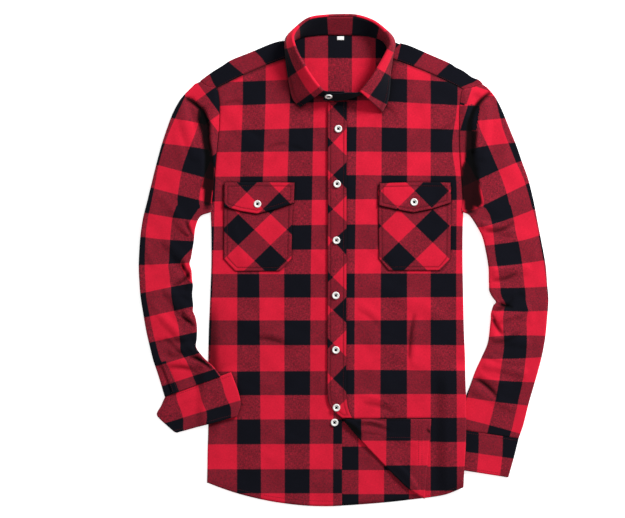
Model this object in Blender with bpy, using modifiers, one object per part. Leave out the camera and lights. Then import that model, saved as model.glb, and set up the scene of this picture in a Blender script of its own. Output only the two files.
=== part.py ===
"""A men's flannel shirt laid flat on its back, each cut-and-sewn piece one closed cloth solid.

Lengths are in millimetres until a mesh is made. x runs across the shirt from the button line,
y up the shirt from the lowest point of the hem, z up from the surface that it lies on.
"Right" and "left" are the wearer's: the right half lies at negative x.
"""

import math

import bmesh
import bpy
import numpy as np

MM = 0.001
GARMENT = "flannel_shirt"

# Cloth
WALL = 1.2                    # brushed twill with its pressed seam allowances
COLLAR_WALL = 2.0             # two layers and the interlining between them
CUFF_WALL = 1.5
LABEL_WALL = 0.8
SEAM_GAP = 0.35               # between two pieces that are sewn edge to edge
CURVED_SEAM_GAP = 0.8         # the same where the two edges have different facets
GAP = 0.4                     # between two pieces that lie on each other
STEP = WALL + GAP             # from the middle of one layer to the middle of the next
LAP_STEP = STEP + 0.15        # the same where the left front laps over the right one
LAP_RAMP = (17, 33)           # where, across the shirt, the left front comes down beside the lap

# Heights of the middle of each layer, where the shirt lies flat
BACK_Z = WALL / 2
FRONT_Z = BACK_Z + 2.0        # a little air is left between front and back

BODY_ROUND = (FRONT_Z - BACK_Z) / 2
SIDE_TURN = 14.0              # how far the fronts reach under the back's sides
FOLD_STEPS = 3                # facets round a folded edge

COLOURS = {
    "check": (0.42, 0.03, 0.05, 1),
    "button": (0.85, 0.84, 0.80, 1),
    "label": (0.80, 0.80, 0.80, 1),
}
ROUGHNESS = {"check": 0.9, "button": 0.25, "label": 0.7}


def table(columns, rows):
    """The columns of a table by name, each as an array with a value for every row."""
    return dict(zip(columns.split(), np.array(rows, float).T))


def points(columns, x="x", y="y"):
    return np.column_stack([columns[x], columns[y]])


# Points that every seam and edge faces away from
CHEST = (0, 500)
NECK_MIDDLE = (5, 705)

# The hem of back and fronts, from the right side to the left.
HEM = table("x y", [
    (-208, 38), (-182, 28), (-157, 20), (-126, 12), (-94, 6), (-51, 1), (-11, 0), (24, 2),
    (69, 5), (114, 10), (140, 13), (173, 19), (202, 31)])

# Side edges from the hem up to the underarm, with the point of the front edge in the same row.
RIGHT_SIDE = table("edge_x edge_y front_x front_y", [
    (-208, 38, 8, 1),
    (-207.5, 58, 8, 34),
    (-207, 90, 8, 76),
    (-206, 122, 8, 114),
    (-206, 150, 8, 146),
    (-206, 173, 8, 173),
    (-206, 202, 8, 202),
    (-206, 234, 8, 234),
    (-205, 282, 8, 282),
    (-203, 330, 8, 330),
    (-201, 386, 8, 386),
    (-201, 434, 8, 434),
    (-202, 472, 8, 470)])
# The first five rows end on the slanting fold of the turned-back corner.
LEFT_SIDE = table("edge_x edge_y front_x front_y", [
    (202, 31, 140, 13),
    (203, 58, 115, 29),
    (205, 90, 77, 66),
    (206, 122, 40, 105),
    (206, 150, 13, 136),
    (206, 173, -6, 155),
    (205, 202, -14, 182),
    (205, 234, -14, 226),
    (203, 282, -14, 282),
    (202, 330, -14, 330),
    (201, 386, -14, 386),
    (201, 434, -14, 434),
    (202, 472, -14, 477)])
CORNER_ROWS = 5
# Where the rows of the turned-back corner end: the old front edge, now lying across the shirt.
CORNER_END = table("x y", [(150.5, 139.5), (121, 139.5), (80, 139.5), (41, 139.3), (14, 139)])

# Armhole seams from the tip of the shoulder down to the underarm.
RIGHT_ARMHOLE = table("x y", [
    (-218.2, 678.6), (-206, 671), (-193, 668), (-189, 653), (-188, 634), (-189, 606),
    (-192, 576), (-195, 541), (-198, 506), (-202, 472)])
LEFT_ARMHOLE = table("x y", [
    (232, 674.8), (217, 669.5), (202, 666), (198, 653), (196, 634), (196, 606),
    (196, 576), (198, 541), (200, 506), (202, 472)])
ARMHOLE_STEPS = 2             # facets between two rows of an armhole
HEM_STEPS = 4                 # the same along the hem
CORNER_POINTS = 7             # points across the turned corner
BAND_POINTS = 3               # points across the collar stand
FLAP_POINTS = 4               # points down a pocket flap
POCKET_FACETS = 4             # facets across a pocket
PLACKET_FACETS = 2            # the same across the placket
LEAF_TURN = (180, 120, 60)    # angles, in degrees, of the leaf's turn over the stand
YOKE_FRONT_ROW = 2            # row where the seam of yoke and front ends
YOKE_BACK_ROW = 4             # row where the seam of yoke and back ends

# Necklines of the fronts, from the front edge up to the yoke.
RIGHT_NECK = table("x y", [(8, 653), (-27, 656.5), (-52, 675), (-66, 699), (-72, 720)])
LEFT_NECK = table("x y", [(-13, 649), (18, 651), (47, 665), (72, 697), (79, 718)])

# Folded shoulder edge and back neckline, from the tip of the right shoulder to the left one.
YOKE_TOP = table("x y", [
    (-219, 680), (-211, 686), (-200, 694), (-184, 704), (-168, 714), (-138, 726), (-107, 739),
    (-91, 743.5), (-77, 744.5), (-66, 745.5), (-57, 748), (-42, 751), (-19, 753), (5, 753),
    (29, 752.5), (48, 751), (63, 747), (74, 743), (85, 742.5), (101, 740.5), (117, 736),
    (149, 722), (179, 709), (190, 702), (202, 696), (216, 686), (226, 682), (233, 676)])
SHOULDER_ROWS = 9             # rows of YOKE_TOP on each shoulder, the neck between them
YOKE_SEAM_Y = 682             # back seam of the yoke at the middle
YOKE_SEAM_DROP = 48           # how much lower it ends at the armholes
YOKE_MIDDLE_X = 4             # half way between the two armholes
FRONT_SEAM_SAG = 3            # the front seams of the yoke bow up by this much

# The sleeves, a row for each section from the shoulder to the cuff: the outer edge, the inner
# edge below the underarm, and the height of the sleeve as it lies.
RIGHT_SLEEVE_TOP = table("x y height", [
    (-227, 675, 3.4), (-233, 669, 4.2), (-241, 661, 5.0), (-251, 649, 5.6), (-262, 629, 6.0),
    (-271, 606, 6.2), (-280, 579, 6.2), (-288, 550, 6.2), (-296, 518, 6.2), (-304, 485, 6.2)])
RIGHT_SLEEVE = table("x y inner_x inner_y height", [
    (-304, 485, -202, 472, 6.2),
    (-310, 461, -218, 464, 6.2),
    (-314, 435, -226, 446, 6.2),
    (-316, 410, -229, 422, 6.2),
    (-317, 384, -233, 395, 6.2),
    (-316, 358, -232, 370, 6.2),
    (-314, 334, -232, 346, 6.2),
    (-310, 309, -229, 317, 6.2),
    (-305, 280, -224, 290, 6.0),
    (-299, 254, -224, 269, 6.0),
    (-294, 234, -225, 254, 6.0),
    (-288, 216, -213, 238, 5.6),
    (-282, 197, -198, 224, 5.2),
    (-275.5, 175, -185, 208, 4.8)])
LEFT_SLEEVE_TOP = table("x y height", [
    (239.5, 669.5, 3.4), (247, 661.5, 4.2), (254, 652, 5.0), (262, 637, 5.6), (270, 618, 6.0),
    (278, 598, 6.2), (287, 576, 6.2), (296, 550, 6.2), (306, 522, 6.2), (315, 485, 6.2)])
LEFT_SLEEVE = table("x y inner_x inner_y height", [
    (315, 485, 202, 472, 6.2),
    (320, 458, 211, 466, 6.2),
    (325, 432, 222, 450, 6.2),
    (330, 406, 232, 431, 6.2),
    (334, 382, 238, 406, 6.2),
    (336, 355, 242, 381, 6.2),
    (338, 330, 243, 354, 6.2),
    (336, 301, 249, 325, 6.2),
    (333, 270, 245, 294, 6.2),
    (328, 242, 241, 262, 6.0),
    (322, 218, 232, 240, 5.6),
    (314, 190, 221, 216, 5.0),
    (306, 162, 210, 186, 4.4),
    (298, 130, 194, 150, 4.0),
    (290.5, 108.5, 181, 125, 3.8)])

# The cuffs, a row for each section from the sleeve to the free edge.
RIGHT_CUFF = table("x y inner_x inner_y", [
    (-275.2, 174.3, -168.7, 213.1),
    (-282, 159, -162, 196),
    (-288, 146, -157, 181),
    (-274, 131, -154, 163),
    (-258, 117, -160, 144)])
LEFT_CUFF = table("x y inner_x inner_y", [
    (290.4, 107.8, 180.9, 124.3),
    (283, 78, 179, 93),
    (274, 46, 178, 61)])
CUFF_HEIGHT = 2 * CUFF_WALL + 0.6
CUFF_STEPS = 2                # facets between two rows

# Where cloth lies on cloth beneath it and is lifted: the plateau's height and its two ramps.
RIGHT_ARM_LIFT = table("x0 x1 y0 y1 height", [(-227, -209, 250, 300, 4.3)])
BODY_LIFT = table("x0 x1 low0 low1 high0 high1 height", [(159, 180, 12, 46, 192, 232, 5.3)])
FRONT_EXTRA_LIFT = 0.25       # the left front stands this share higher than the back there
FRONT_LIFT_SPARE = 3.0        # and is lifted over this much more of its width

# Large creases: a ridge, or a trough where the height is negative, from one end to the other.
CREASE_COLUMNS = "x0 y0 x1 y1 half_width height"
RIGHT_SLEEVE_CREASES = table(CREASE_COLUMNS, [
    (-235, 648, -207, 566, 11, -1.7),
    (-250, 640, -226, 560, 13, 2.2),
    (-206, 566, -212, 488, 9, -1.5),
    (-258, 470, -222, 424, 12, 2.4),
    (-270, 420, -232, 384, 12, 2.6),
    (-262, 392, -230, 352, 9, -1.6),
    (-268, 342, -228, 300, 13, 3.0),
    (-276, 300, -240, 262, 11, 2.4),
    (-300, 262, -226, 262, 8, -1.6),
    (-262, 246, -232, 256, 10, 2.6),
    (-284, 232, -214, 228, 10, 2.2)])
LEFT_SLEEVE_CREASES = table(CREASE_COLUMNS, [
    (222, 652, 212, 560, 11, -1.7),
    (238, 640, 234, 560, 14, 2.2),
    (212, 560, 204, 488, 10, -1.5),
    (276, 440, 236, 448, 12, 2.4),
    (300, 380, 246, 372, 13, 2.2),
    (292, 336, 248, 326, 9, -1.8),
    (300, 316, 252, 300, 13, 2.8),
    (300, 262, 246, 270, 12, 2.4),
    (296, 214, 240, 226, 11, 2.2),
    (276, 160, 222, 186, 12, 1.8)])
NO_CREASES = table(CREASE_COLUMNS, [(0, 0, 1, 0, 1, 0)])
BODY_CREASES = table(CREASE_COLUMNS, [
    (-176, 640, -120, 560, 18, 1.2),
    (170, 636, 112, 560, 18, 1.2),
    (-150, 300, -60, 262, 20, 1.5),
    (70, 352, 150, 312, 20, 1.5),
    (60, 262, 138, 236, 18, 1.2)])

# The collar, a row for each section: the stand's foot on the neck seam and its top, where the
# leaf turns over; how far the leaf swings out and down from there, and the leaf's free edge.
COLLAR_COLUMNS = "foot_x foot_y foot_z top_x top_y top_z reach drop edge_x edge_y edge_z"
COLLAR = table(COLLAR_COLUMNS, [
    (-26, 656, 4.0, -22, 662, 26, 9, 4, -58, 638, 4.8),
    (-43, 666, 4.0, -34, 675, 27, 9, 4, -70, 650, 4.7),
    (-57, 681, 4.0, -44, 689, 28, 9, 4, -75, 669, 4.7),
    (-66, 700, 4.0, -54, 706, 29, 9, 4, -79, 693, 4.7),
    (-72, 720, 4.0, -62, 721, 30, 9, 5, -82, 717, 4.9),
    (-73, 734, 4.0, -68, 737, 30, 9, 8, -83, 736, 5.5),
    (-68, 744, 2.6, -68.5, 750, 27, 6, 14, -80, 751, 4.6),
    (-57, 749, 1.7, -58.5, 764.5, 22, 3, 16, -65, 760, 1.6),
    (-42, 751.5, 1.6, -43, 775.5, 19, 2, 18, -45, 761, 1.2),
    (-19, 753.5, 1.6, -21, 779.3, 18, 2, 18, -19, 760, 1.2),
    (5, 753.5, 1.6, 5, 780.5, 18, 2, 18, 5, 760, 1.2),
    (29, 753, 1.6, 31, 779.6, 18, 2, 18, 29, 760, 1.2),
    (48, 751.5, 1.6, 53, 772.5, 19, 2, 18, 50, 761, 1.2),
    (64, 748, 1.7, 67.5, 762.5, 22, 3, 16, 71, 759, 1.6),
    (75, 742, 2.6, 79.5, 748, 27, 6, 14, 88, 750, 4.6),
    (80, 731, 4.0, 82.5, 735, 30, 9, 8, 91, 735, 5.5),
    (79, 717, 4.0, 75, 718, 30, 9, 5, 88.5, 715, 4.9),
    (72, 698, 4.0, 66, 702, 29, 9, 4, 85, 691, 4.7),
    (62, 681, 4.0, 56, 685, 28, 9, 4, 84, 669, 4.7),
    (48, 665, 4.0, 46, 672, 27, 9, 4, 81, 648, 4.7),
    (33, 656, 4.6, 36, 659.5, 26, 9, 4, 72, 630, 4.8)])
LAP_COLUMNS = "foot_x foot_y foot_z top_x top_y top_z"
UNDER_LAP = table(LAP_COLUMNS, [
    (12, 653.8, 4.2, 12, 665, 25),
    (-8, 654.0, 4.2, -5, 665, 25.5)])
OVER_LAP = table(LAP_COLUMNS, [
    (14, 650.3, 5.4, 15, 658.5, 25.5),
    (-5, 648.6, 5.4, -3, 657.5, 25),
    (-22, 649.4, 5.4, -19, 658, 25)])
COLLAR_STEPS = 2              # facets between two rows
LEAF_ROLL = 2.0               # radius of the leaf's turn over the stand
LEAF_GAP = 0.7                # between the stand's top and the leaf
LEAF_COLUMNS = 6              # facets from the roll to the free edge

# The placket strip, the pockets and their flaps, a row for each line across the strip.
PLACKET = table("y x0 x1", [
    (646, -15, 15.5), (560, -15, 15.2), (420, -15, 15), (300, -15.3, 14.8), (200, -15.5, 14.6),
    (178, -15.2, 14.6), (164, -12.5, 16), (154, -5.5, 18.5), (145, 3.5, 22), (141.5, 9, 24.5)])
RIGHT_POCKET = table("y x0 x1", [
    (511, -181, -71), (480, -181, -71), (396, -181, -73), (385, -171, -82), (376, -162, -92)])
LEFT_POCKET = table("y x0 x1", [
    (511, 66, 182), (480, 66, 182), (396, 67, 181), (386, 75, 173), (377, 83, 165)])
RIGHT_FLAP = table("x0 y0 x1 y1", [
    (-180, 517, -180, 479), (-154, 517.5, -153, 471.5), (-128, 517.5, -128, 467.5),
    (-98, 517.5, -97, 475), (-68, 517, -69, 485)])
LEFT_FLAP = table("x0 y0 x1 y1", [
    (68, 516, 67, 481), (96, 517, 94, 474.5), (125, 517.5, 122, 469.5),
    (153, 517.5, 152, 475.5), (181, 517, 181, 485)])
SLEEVE_PLACKET = {"rows": 4, "columns": [6, 7]}   # of the sleeve's own points, at its end
LABEL = {"x": 5.5, "y": 748.2, "width": 11.0, "height": 6.0}

BUTTON_RADIUS = 6.0
# A button's half section: distance from its axis and height.
BUTTON_PROFILE = [(0, 1.1), (3.0, 1.1), (3.9, 2.2), (5.2, 2.2), (6.0, 1.4), (5.4, 0.0), (0, 0)]
BUTTON_SIDES = 12
PLACKET_BUTTONS = [(2, 603), (0, 515), (-1, 425), (-2, 337), (-2, 250), (-1, 158)]
FRONT_BUTTON = (-4, 134)
RIGHT_POCKET_BUTTON = (-127, 483)
LEFT_POCKET_BUTTON = (123, 486)
COLLAR_BUTTON = {"x": -15.5, "up_the_stand": 0.74}

# How the body's columns are spread, as shares of the way from the side to the front edge.
RIGHT_COLUMNS = [0, 0.1, 0.22, 0.36, 0.5, 0.64, 0.78, 0.9, 1]
LEFT_COLUMNS = [0, 0.06, 0.12, 0.18, 0.26, 0.38, 0.52, 0.66, 0.79, 0.86, 0.93, 1]
BACK_X = [-188, -150, -110, -70, -30, 10, 50, 90, 125, 150, 163, 173, 182, 190]


# Curves and surfaces

def smooth(curve, steps):
    """A curve through all the given points, with that many facets from one to the next."""
    curve = np.asarray(curve, float)
    padded = np.vstack([2 * curve[0] - curve[1], curve, 2 * curve[-1] - curve[-2]])
    out = []
    for i in range(len(curve) - 1):
        a, b, c, d = padded[i:i + 4]
        for t in np.arange(steps) / steps:
            out.append(b + 0.5 * t * (c - a + t * (2 * a - 5 * b + 4 * c - d
                                                   + t * (3 * (b - c) + d - a))))
    return np.array(out + [curve[-1]])


def length_shares(curve):
    """How far along the curve each of its points is, from 0 to 1."""
    run = np.concatenate([[0], np.cumsum(np.linalg.norm(np.diff(curve, axis=0), axis=1))])
    return run / run[-1]


def along(start, end, shares):
    """Points of a straight line at the given shares of its length."""
    start, end = np.asarray(start, float), np.asarray(end, float)
    return start + np.asarray(shares)[:, None] * (end - start)


def patch(bottom, top, start, end):
    """Points of a Coons patch: rows run from bottom to top, columns from start to end."""
    v = np.linspace(0, 1, len(start))[:, None, None]
    u = length_shares(bottom)[None, :, None]
    across = (1 - u) * start[:, None] + u * end[:, None]
    upward = (1 - v) * bottom[None] + v * top[None]
    corners = ((1 - v) * ((1 - u) * bottom[0] + u * bottom[-1])
               + v * ((1 - u) * top[0] + u * top[-1]))
    return across + upward - corners


def ramp(x, low, high):
    t = np.clip((np.asarray(x, float) - low) / (high - low), 0, 1)
    return t * t * (3 - 2 * t)


def crease_height(plan, creases):
    """How high the creases raise the points of a plan."""
    height = np.zeros(plan.shape[:-1])
    for x0, y0, x1, y1, half_width, rise in zip(*creases.values()):
        start, run = np.array([x0, y0]), np.array([x1 - x0, y1 - y0])
        share = np.clip((plan - start) @ run / (run @ run), 0, 1)
        away = np.linalg.norm(plan - start - share[..., None] * run, axis=-1) / half_width
        height += rise * np.clip(1 - away ** 2, 0, 1) ** 2
    return height


def body_lift(plan, spare=0.0):
    """The left sleeve's end lies under the body's side and lifts it, and as much round it."""
    x0, x1, low0, low1, high0, high1, height = (column[0] for column in BODY_LIFT.values())
    x, y = plan[..., 0] + spare, plan[..., 1]
    upward = ramp(y + spare, low0, low1) * (1 - ramp(y - spare, high0, high1))
    return height * ramp(x, x0, x1) * upward


def arm_lift(plan):
    """The right sleeve's end lies on the body's side."""
    x0, x1, y0, y1, height = (column[0] for column in RIGHT_ARM_LIFT.values())
    return height * ramp(plan[..., 0], x0, x1) * (1 - ramp(plan[..., 1], y0, y1))


def front_height(plan, lap=0.0):
    """Middle of a front panel: over the back, over the other front, and over the sleeve."""
    shown = crease_height(plan, BODY_CREASES)
    lifted = (1 + FRONT_EXTRA_LIFT) * body_lift(plan, FRONT_LIFT_SPARE)
    return FRONT_Z + LAP_STEP * lap + shown + lifted


def lap_share(plan):
    """1 where the left front lies on the right one, 0 clear of it."""
    return 1 - ramp(plan[..., 0], *LAP_RAMP)


def with_height(plan, z):
    return np.dstack([plan, np.broadcast_to(z, plan.shape[:2])])


def turned_edge(edge, outward, radius, z_from, z_to):
    """A row of points round a folded edge for each edge point, from one height to another."""
    angles = np.linspace(0, math.pi, FOLD_STEPS + 1)
    middle, half = (z_from + z_to) / 2, (z_from - z_to) / 2
    reach = np.broadcast_to(radius, len(edge))[:, None] * np.sin(angles)
    plan = edge[:, None] + outward[:, None] * reach[..., None]
    z = middle[:, None] + half[:, None] * np.cos(angles)
    return np.dstack([plan, z])


def outward_of(curve, away_from):
    """Unit normals of a curve in plan, all on the one side that faces away from a point."""
    run = np.gradient(np.asarray(curve, float), axis=0)
    normal = np.column_stack([run[:, 1], -run[:, 0]])
    normal /= np.linalg.norm(normal, axis=1)[:, None]
    return normal * np.sign(np.sum(normal * (curve - np.asarray(away_from, float))))


# Objects

def material(name, kind):
    shade = bpy.data.materials.new(name)
    shade.use_nodes = True
    shader = shade.node_tree.nodes["Principled BSDF"]
    shader.inputs["Base Color"].default_value = COLOURS[kind]
    shader.inputs["Roughness"].default_value = ROUGHNESS[kind]
    shader.inputs["Metallic"].default_value = 0.0
    return shade


def put(mesh, name, kind, smooth_faces=True):
    """Adds a mesh, in millimetres, to the garment as a named object in metres."""
    thing = bpy.data.objects.new(name, mesh)
    mesh.materials.append(material(name, kind))
    bpy.data.collections[GARMENT].objects.link(thing)
    thing.parent = bpy.data.objects[GARMENT + "_origin"]
    if smooth_faces:
        mesh.shade_smooth()
    return thing


def loft(bm, sections):
    """Faces between neighbouring sections, each a row of points in millimetres."""
    rows = [[bm.verts.new([c * MM for c in point]) for point in section] for section in sections]
    for low, high in zip(rows, rows[1:]):
        for i in range(len(low) - 1):
            bm.faces.new([low[i], low[i + 1], high[i + 1], high[i]])


def cloth(name, patches, wall=WALL, kind="check"):
    """One piece of cloth: open surfaces welded along the edges that they share, then thickened."""
    bm = bmesh.new()
    for sections in patches:
        loft(bm, sections)
    bmesh.ops.remove_doubles(bm, verts=bm.verts, dist=0.02 * MM)
    bmesh.ops.dissolve_degenerate(bm, edges=bm.edges, dist=0.01 * MM)
    bmesh.ops.recalc_face_normals(bm, faces=bm.faces)
    mesh = bpy.data.meshes.new(name)
    bm.to_mesh(mesh)
    bm.free()
    thing = put(mesh, name, kind)
    solid = thing.modifiers.new("wall", "SOLIDIFY")
    solid.thickness = wall * MM
    solid.offset = 0.0
    solid.use_even_offset = True
    solid.use_quality_normals = True
    return thing


def hem_point(x):
    curve = smooth(points(HEM), HEM_STEPS)
    return np.column_stack([x, np.interp(x, curve[:, 0], curve[:, 1])])


def armhole(side):
    """The armhole seam in plan, from the shoulder's tip to the underarm."""
    return smooth(points(side), ARMHOLE_STEPS)


# The body

def front_plan(side, hole, neck, columns):
    """A front panel's points in plan: rows from hem to yoke, columns from side to front edge."""
    inward = -np.sign(side["edge_x"][0]) * (BODY_ROUND + WALL / 2)
    edge = points(side, "edge_x", "edge_y") + [inward, 0]
    hole_points = armhole(hole)
    yoke_at = YOKE_FRONT_ROW * ARMHOLE_STEPS
    corner_at = YOKE_BACK_ROW * ARMHOLE_STEPS
    up_the_hole = hole_points[yoke_at:-1][::-1]
    start = np.vstack([edge, up_the_hole])
    front = points(side, "front_x", "front_y")
    neckline = points(neck)
    rows_above = len(hole_points) - corner_at
    straight = along(front[-1], neckline[0], np.linspace(0, 1, rows_above))[1:]
    end = np.vstack([front, straight, neckline[1:]])
    x = start[0, 0] + np.array(columns) * (end[0, 0] - start[0, 0])
    bottom = hem_point(x)
    start[0], end[0] = bottom[0], bottom[-1]
    top = start[-1] + np.array(columns)[:, None] * (end[-1] - start[-1])
    top[:, 1] += FRONT_SEAM_SAG * 4 * np.array(columns) * (1 - np.array(columns))
    return fade_hem(start, end, bottom, top, columns)


def fade_hem(start, end, bottom, top, columns):
    """Rows are straight lines, apart from the lowest ones, which bend with the hem."""
    share = np.array(columns)[None, :, None]
    plan = start[:, None] + share * (end - start)[:, None]
    bend = bottom - plan[0]
    hem_share = np.array([1, 0.5, 0.15])
    for row, keep in enumerate(hem_share):
        plan[row] += keep * bend
    rise = top - plan[-1]
    for row, keep in enumerate(hem_share):
        plan[-1 - row] += keep * rise
    return plan


def side_turn(plan, rows, edge_x):
    """The panel's side folded under: round the edge and a strip's width in below."""
    top = plan[:rows, 0]
    outward = np.column_stack([np.sign(edge_x[:rows]), np.zeros(rows)])
    z_top = front_height(top)
    z_low = BACK_Z + body_lift(top)
    bend = turned_edge(top, outward, BODY_ROUND, z_top, z_low)
    shares = np.array([0, 0.5, 1])
    under = top[:, None] - outward[:, None] * (SIDE_TURN * shares)[None, :, None]
    strip = with_height(under, BACK_Z + body_lift(under))
    return [bend, strip]


def front_right():
    plan = front_plan(RIGHT_SIDE, RIGHT_ARMHOLE, RIGHT_NECK, RIGHT_COLUMNS)
    rows = len(RIGHT_SIDE["edge_x"])
    panel = with_height(plan, front_height(plan))
    return cloth("front_right", [panel] + side_turn(plan, rows, RIGHT_SIDE["edge_x"]))


def turned_corner(plan):
    """The lower front corner, folded back along a slanting line onto the panel."""
    fold = plan[:CORNER_ROWS, -1]
    outward = np.tile([-math.sqrt(0.5), -math.sqrt(0.5)], (CORNER_ROWS, 1))
    z_low = front_height(fold, lap_share(fold))
    z_high = z_low + STEP
    bend = turned_edge(fold, outward, STEP / 2, z_low, z_high)
    shares = np.linspace(0, 1, CORNER_POINTS)[None, :, None]
    over = fold[:, None] + shares * (points(CORNER_END) - fold)[:, None]
    flap = with_height(over, front_height(over, lap_share(over)) + STEP)
    return [bend, flap]


def front_left():
    plan = front_plan(LEFT_SIDE, LEFT_ARMHOLE, LEFT_NECK, LEFT_COLUMNS)
    rows = len(LEFT_SIDE["edge_x"])
    panel = with_height(plan, front_height(plan, lap_share(plan)))
    turned = side_turn(plan, rows, LEFT_SIDE["edge_x"]) + turned_corner(plan)
    return cloth("front_left", [panel] + turned)


def back_seam(x):
    half = (LEFT_ARMHOLE["x"][YOKE_BACK_ROW] - RIGHT_ARMHOLE["x"][YOKE_BACK_ROW]) / 2
    return YOKE_SEAM_Y - YOKE_SEAM_DROP * ((np.asarray(x, float) - YOKE_MIDDLE_X) / half) ** 2


def back():
    """The back panel: between the side seams below the underarm, to the armholes above it."""
    inset = BODY_ROUND + WALL / 2 + SIDE_TURN + CURVED_SEAM_GAP
    hole_right = armhole(RIGHT_ARMHOLE)[YOKE_BACK_ROW * ARMHOLE_STEPS:][::-1]
    hole_left = armhole(LEFT_ARMHOLE)[YOKE_BACK_ROW * ARMHOLE_STEPS:][::-1]
    right_edge = points(RIGHT_SIDE, "edge_x", "edge_y") + [inset, 0]
    left_edge = points(LEFT_SIDE, "edge_x", "edge_y") - [inset, 0]
    start = np.vstack([right_edge, hole_right[1:]])
    end = np.vstack([left_edge, hole_left[1:]])
    shares = (np.array(BACK_X) - BACK_X[0]) / (BACK_X[-1] - BACK_X[0])
    bottom = hem_point(start[0, 0] + shares * (end[0, 0] - start[0, 0]))
    start[0], end[0] = bottom[0], bottom[-1]
    top_x = start[-1, 0] + shares * (end[-1, 0] - start[-1, 0])
    top = np.column_stack([top_x, back_seam(top_x) - 1.5 * CURVED_SEAM_GAP])
    plan = fade_hem(start, end, bottom, top, shares)
    return cloth("back", [with_height(plan, BACK_Z + body_lift(plan))])


def yoke():
    """The yoke: across the back, and over each shoulder to the front seam."""
    top = points(YOKE_TOP)
    rows = SHOULDER_ROWS
    inset = BODY_ROUND + WALL / 2
    for shoulder in (slice(0, rows), slice(-rows, None)):
        top[shoulder] -= outward_of(top[shoulder], CHEST) * inset
    right_end = armhole(RIGHT_ARMHOLE)[:YOKE_BACK_ROW * ARMHOLE_STEPS + 1]
    left_end = armhole(LEFT_ARMHOLE)[:YOKE_BACK_ROW * ARMHOLE_STEPS + 1]
    seam_x = np.interp(top[:, 0], [top[0, 0], top[-1, 0]], [right_end[-1, 0], left_end[-1, 0]])
    seam = np.column_stack([seam_x, back_seam(seam_x)])
    right_end[0], left_end[0] = top[0], top[-1]
    seam[0], seam[-1] = right_end[-1], left_end[-1]
    low = patch(top, seam, right_end, left_end)
    patches = [with_height(low, BACK_Z)]
    for fold, neck_end, hole, neck in (
            (top[:rows], top[rows - 1], right_end, points(RIGHT_NECK)[-1]),
            (top[-rows:][::-1], top[-rows], left_end, points(LEFT_NECK)[-1])):
        seam_end = hole[YOKE_FRONT_ROW * ARMHOLE_STEPS]
        share = length_shares(fold)
        front_seam = along(seam_end, neck, share)
        front_seam[:, 1] += FRONT_SEAM_SAG * 4 * share * (1 - share) + SEAM_GAP + WALL / 4
        outward = outward_of(fold, CHEST)
        z_low = np.full(len(fold), BACK_Z)
        z_high = np.full(len(fold), FRONT_Z)
        patches.append(turned_edge(fold, outward, BODY_ROUND, z_low, z_high))
        steps = np.linspace(0, 1, YOKE_FRONT_ROW * ARMHOLE_STEPS + 1)
        neck_side = along(neck_end, front_seam[-1], steps)
        hole_side = hole[:YOKE_FRONT_ROW * ARMHOLE_STEPS + 1].copy()
        hole_side[-1] = front_seam[0]
        flap = patch(fold, front_seam, hole_side, neck_side)
        patches.append(with_height(flap, FRONT_Z))
    return cloth("yoke", patches)


# The sleeves

SLEEVE_COLUMNS = np.array([0, 0.12, 0.25, 0.38, 0.5, 0.62, 0.75, 0.88, 1])


def sleeve_rows(hole, top, lower):
    """Outer edge, inner edge and height of every section, from the shoulder's tip to the cuff."""
    seam = armhole(hole)
    seam = seam + outward_of(seam, CHEST) * CURVED_SEAM_GAP
    upper_outer = smooth(np.column_stack([points(top), top["height"]]), ARMHOLE_STEPS)
    lower_outer = np.column_stack([points(lower), lower["height"]])
    outer = np.vstack([upper_outer, lower_outer[1:]])
    inner = np.vstack([seam, points(lower, "inner_x", "inner_y")[1:]])
    return outer[:, :2], inner, outer[:, 2], len(seam)


def tube(outer, inner, height, wall, base, creases, open_rows):
    """A flattened tube in patches: over the top, round the outer edge and back below, and,
    past the open rows, round the inner edge."""
    radius = (height - wall) / 2
    across = outer - inner
    width = np.linalg.norm(across, axis=1)
    direction = across / width[:, None]
    closed = np.arange(len(outer)) >= open_rows
    inset = np.where(closed, radius + wall / 2, 0)
    low_z = wall / 2
    start = inner + direction * inset[:, None]
    end = outer - direction * (radius + wall / 2)[:, None]
    over = start[:, None] + SLEEVE_COLUMNS[None, :, None] * (end - start)[:, None]
    under = end[:, None] + SLEEVE_COLUMNS[None, :, None] * (start - end)[:, None]
    shares = SLEEVE_COLUMNS[None]
    # Beside the armhole the sleeve is no thicker than the body that it is sewn to.
    seam_height = np.where(closed, height, FRONT_Z + wall / 2)[:, None]
    blend = ramp(shares, 0, 0.3)
    full = seam_height + (height[:, None] - seam_height) * blend
    edge_fade = np.minimum(1, 8 * (1 - shares)) * np.where(
        closed[:, None], np.minimum(1, 8 * shares), np.minimum(1, 6 * shares))
    top_z = full - wall / 2 + crease_height(over, creases) * edge_fade
    top = with_height(over, top_z + base(over))
    bottom = with_height(under, low_z + base(under))
    bend = turned_edge(end, direction, radius, top[:, -1, 2], bottom[:, 0, 2])
    inner_bend = turned_edge(start, -direction, radius, bottom[:, -1, 2], top[:, 0, 2])
    return [top, bend, bottom, inner_bend[open_rows:]]


def no_lift(plan):
    return np.zeros(plan.shape[:-1])


def sleeves():
    outer, inner, height, open_rows = sleeve_rows(
        RIGHT_ARMHOLE, RIGHT_SLEEVE_TOP, RIGHT_SLEEVE)
    right = tube(outer, inner, height, WALL, arm_lift, RIGHT_SLEEVE_CREASES, open_rows - 1)
    cloth("sleeve_right", right)
    sleeve_placket(right[0])
    outer, inner, height, open_rows = sleeve_rows(LEFT_ARMHOLE, LEFT_SLEEVE_TOP, LEFT_SLEEVE)
    left = tube(outer, inner, height, WALL, no_lift, LEFT_SLEEVE_CREASES, open_rows - 1)
    cloth("sleeve_left", left)


def sleeve_placket(top):
    """The narrow strip that finishes the sleeve's slit, on the sleeve's own points."""
    strip = top[-SLEEVE_PLACKET["rows"]:, SLEEVE_PLACKET["columns"]] + [0, 0, STEP]
    return cloth("sleeve_placket_right", [strip])


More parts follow.
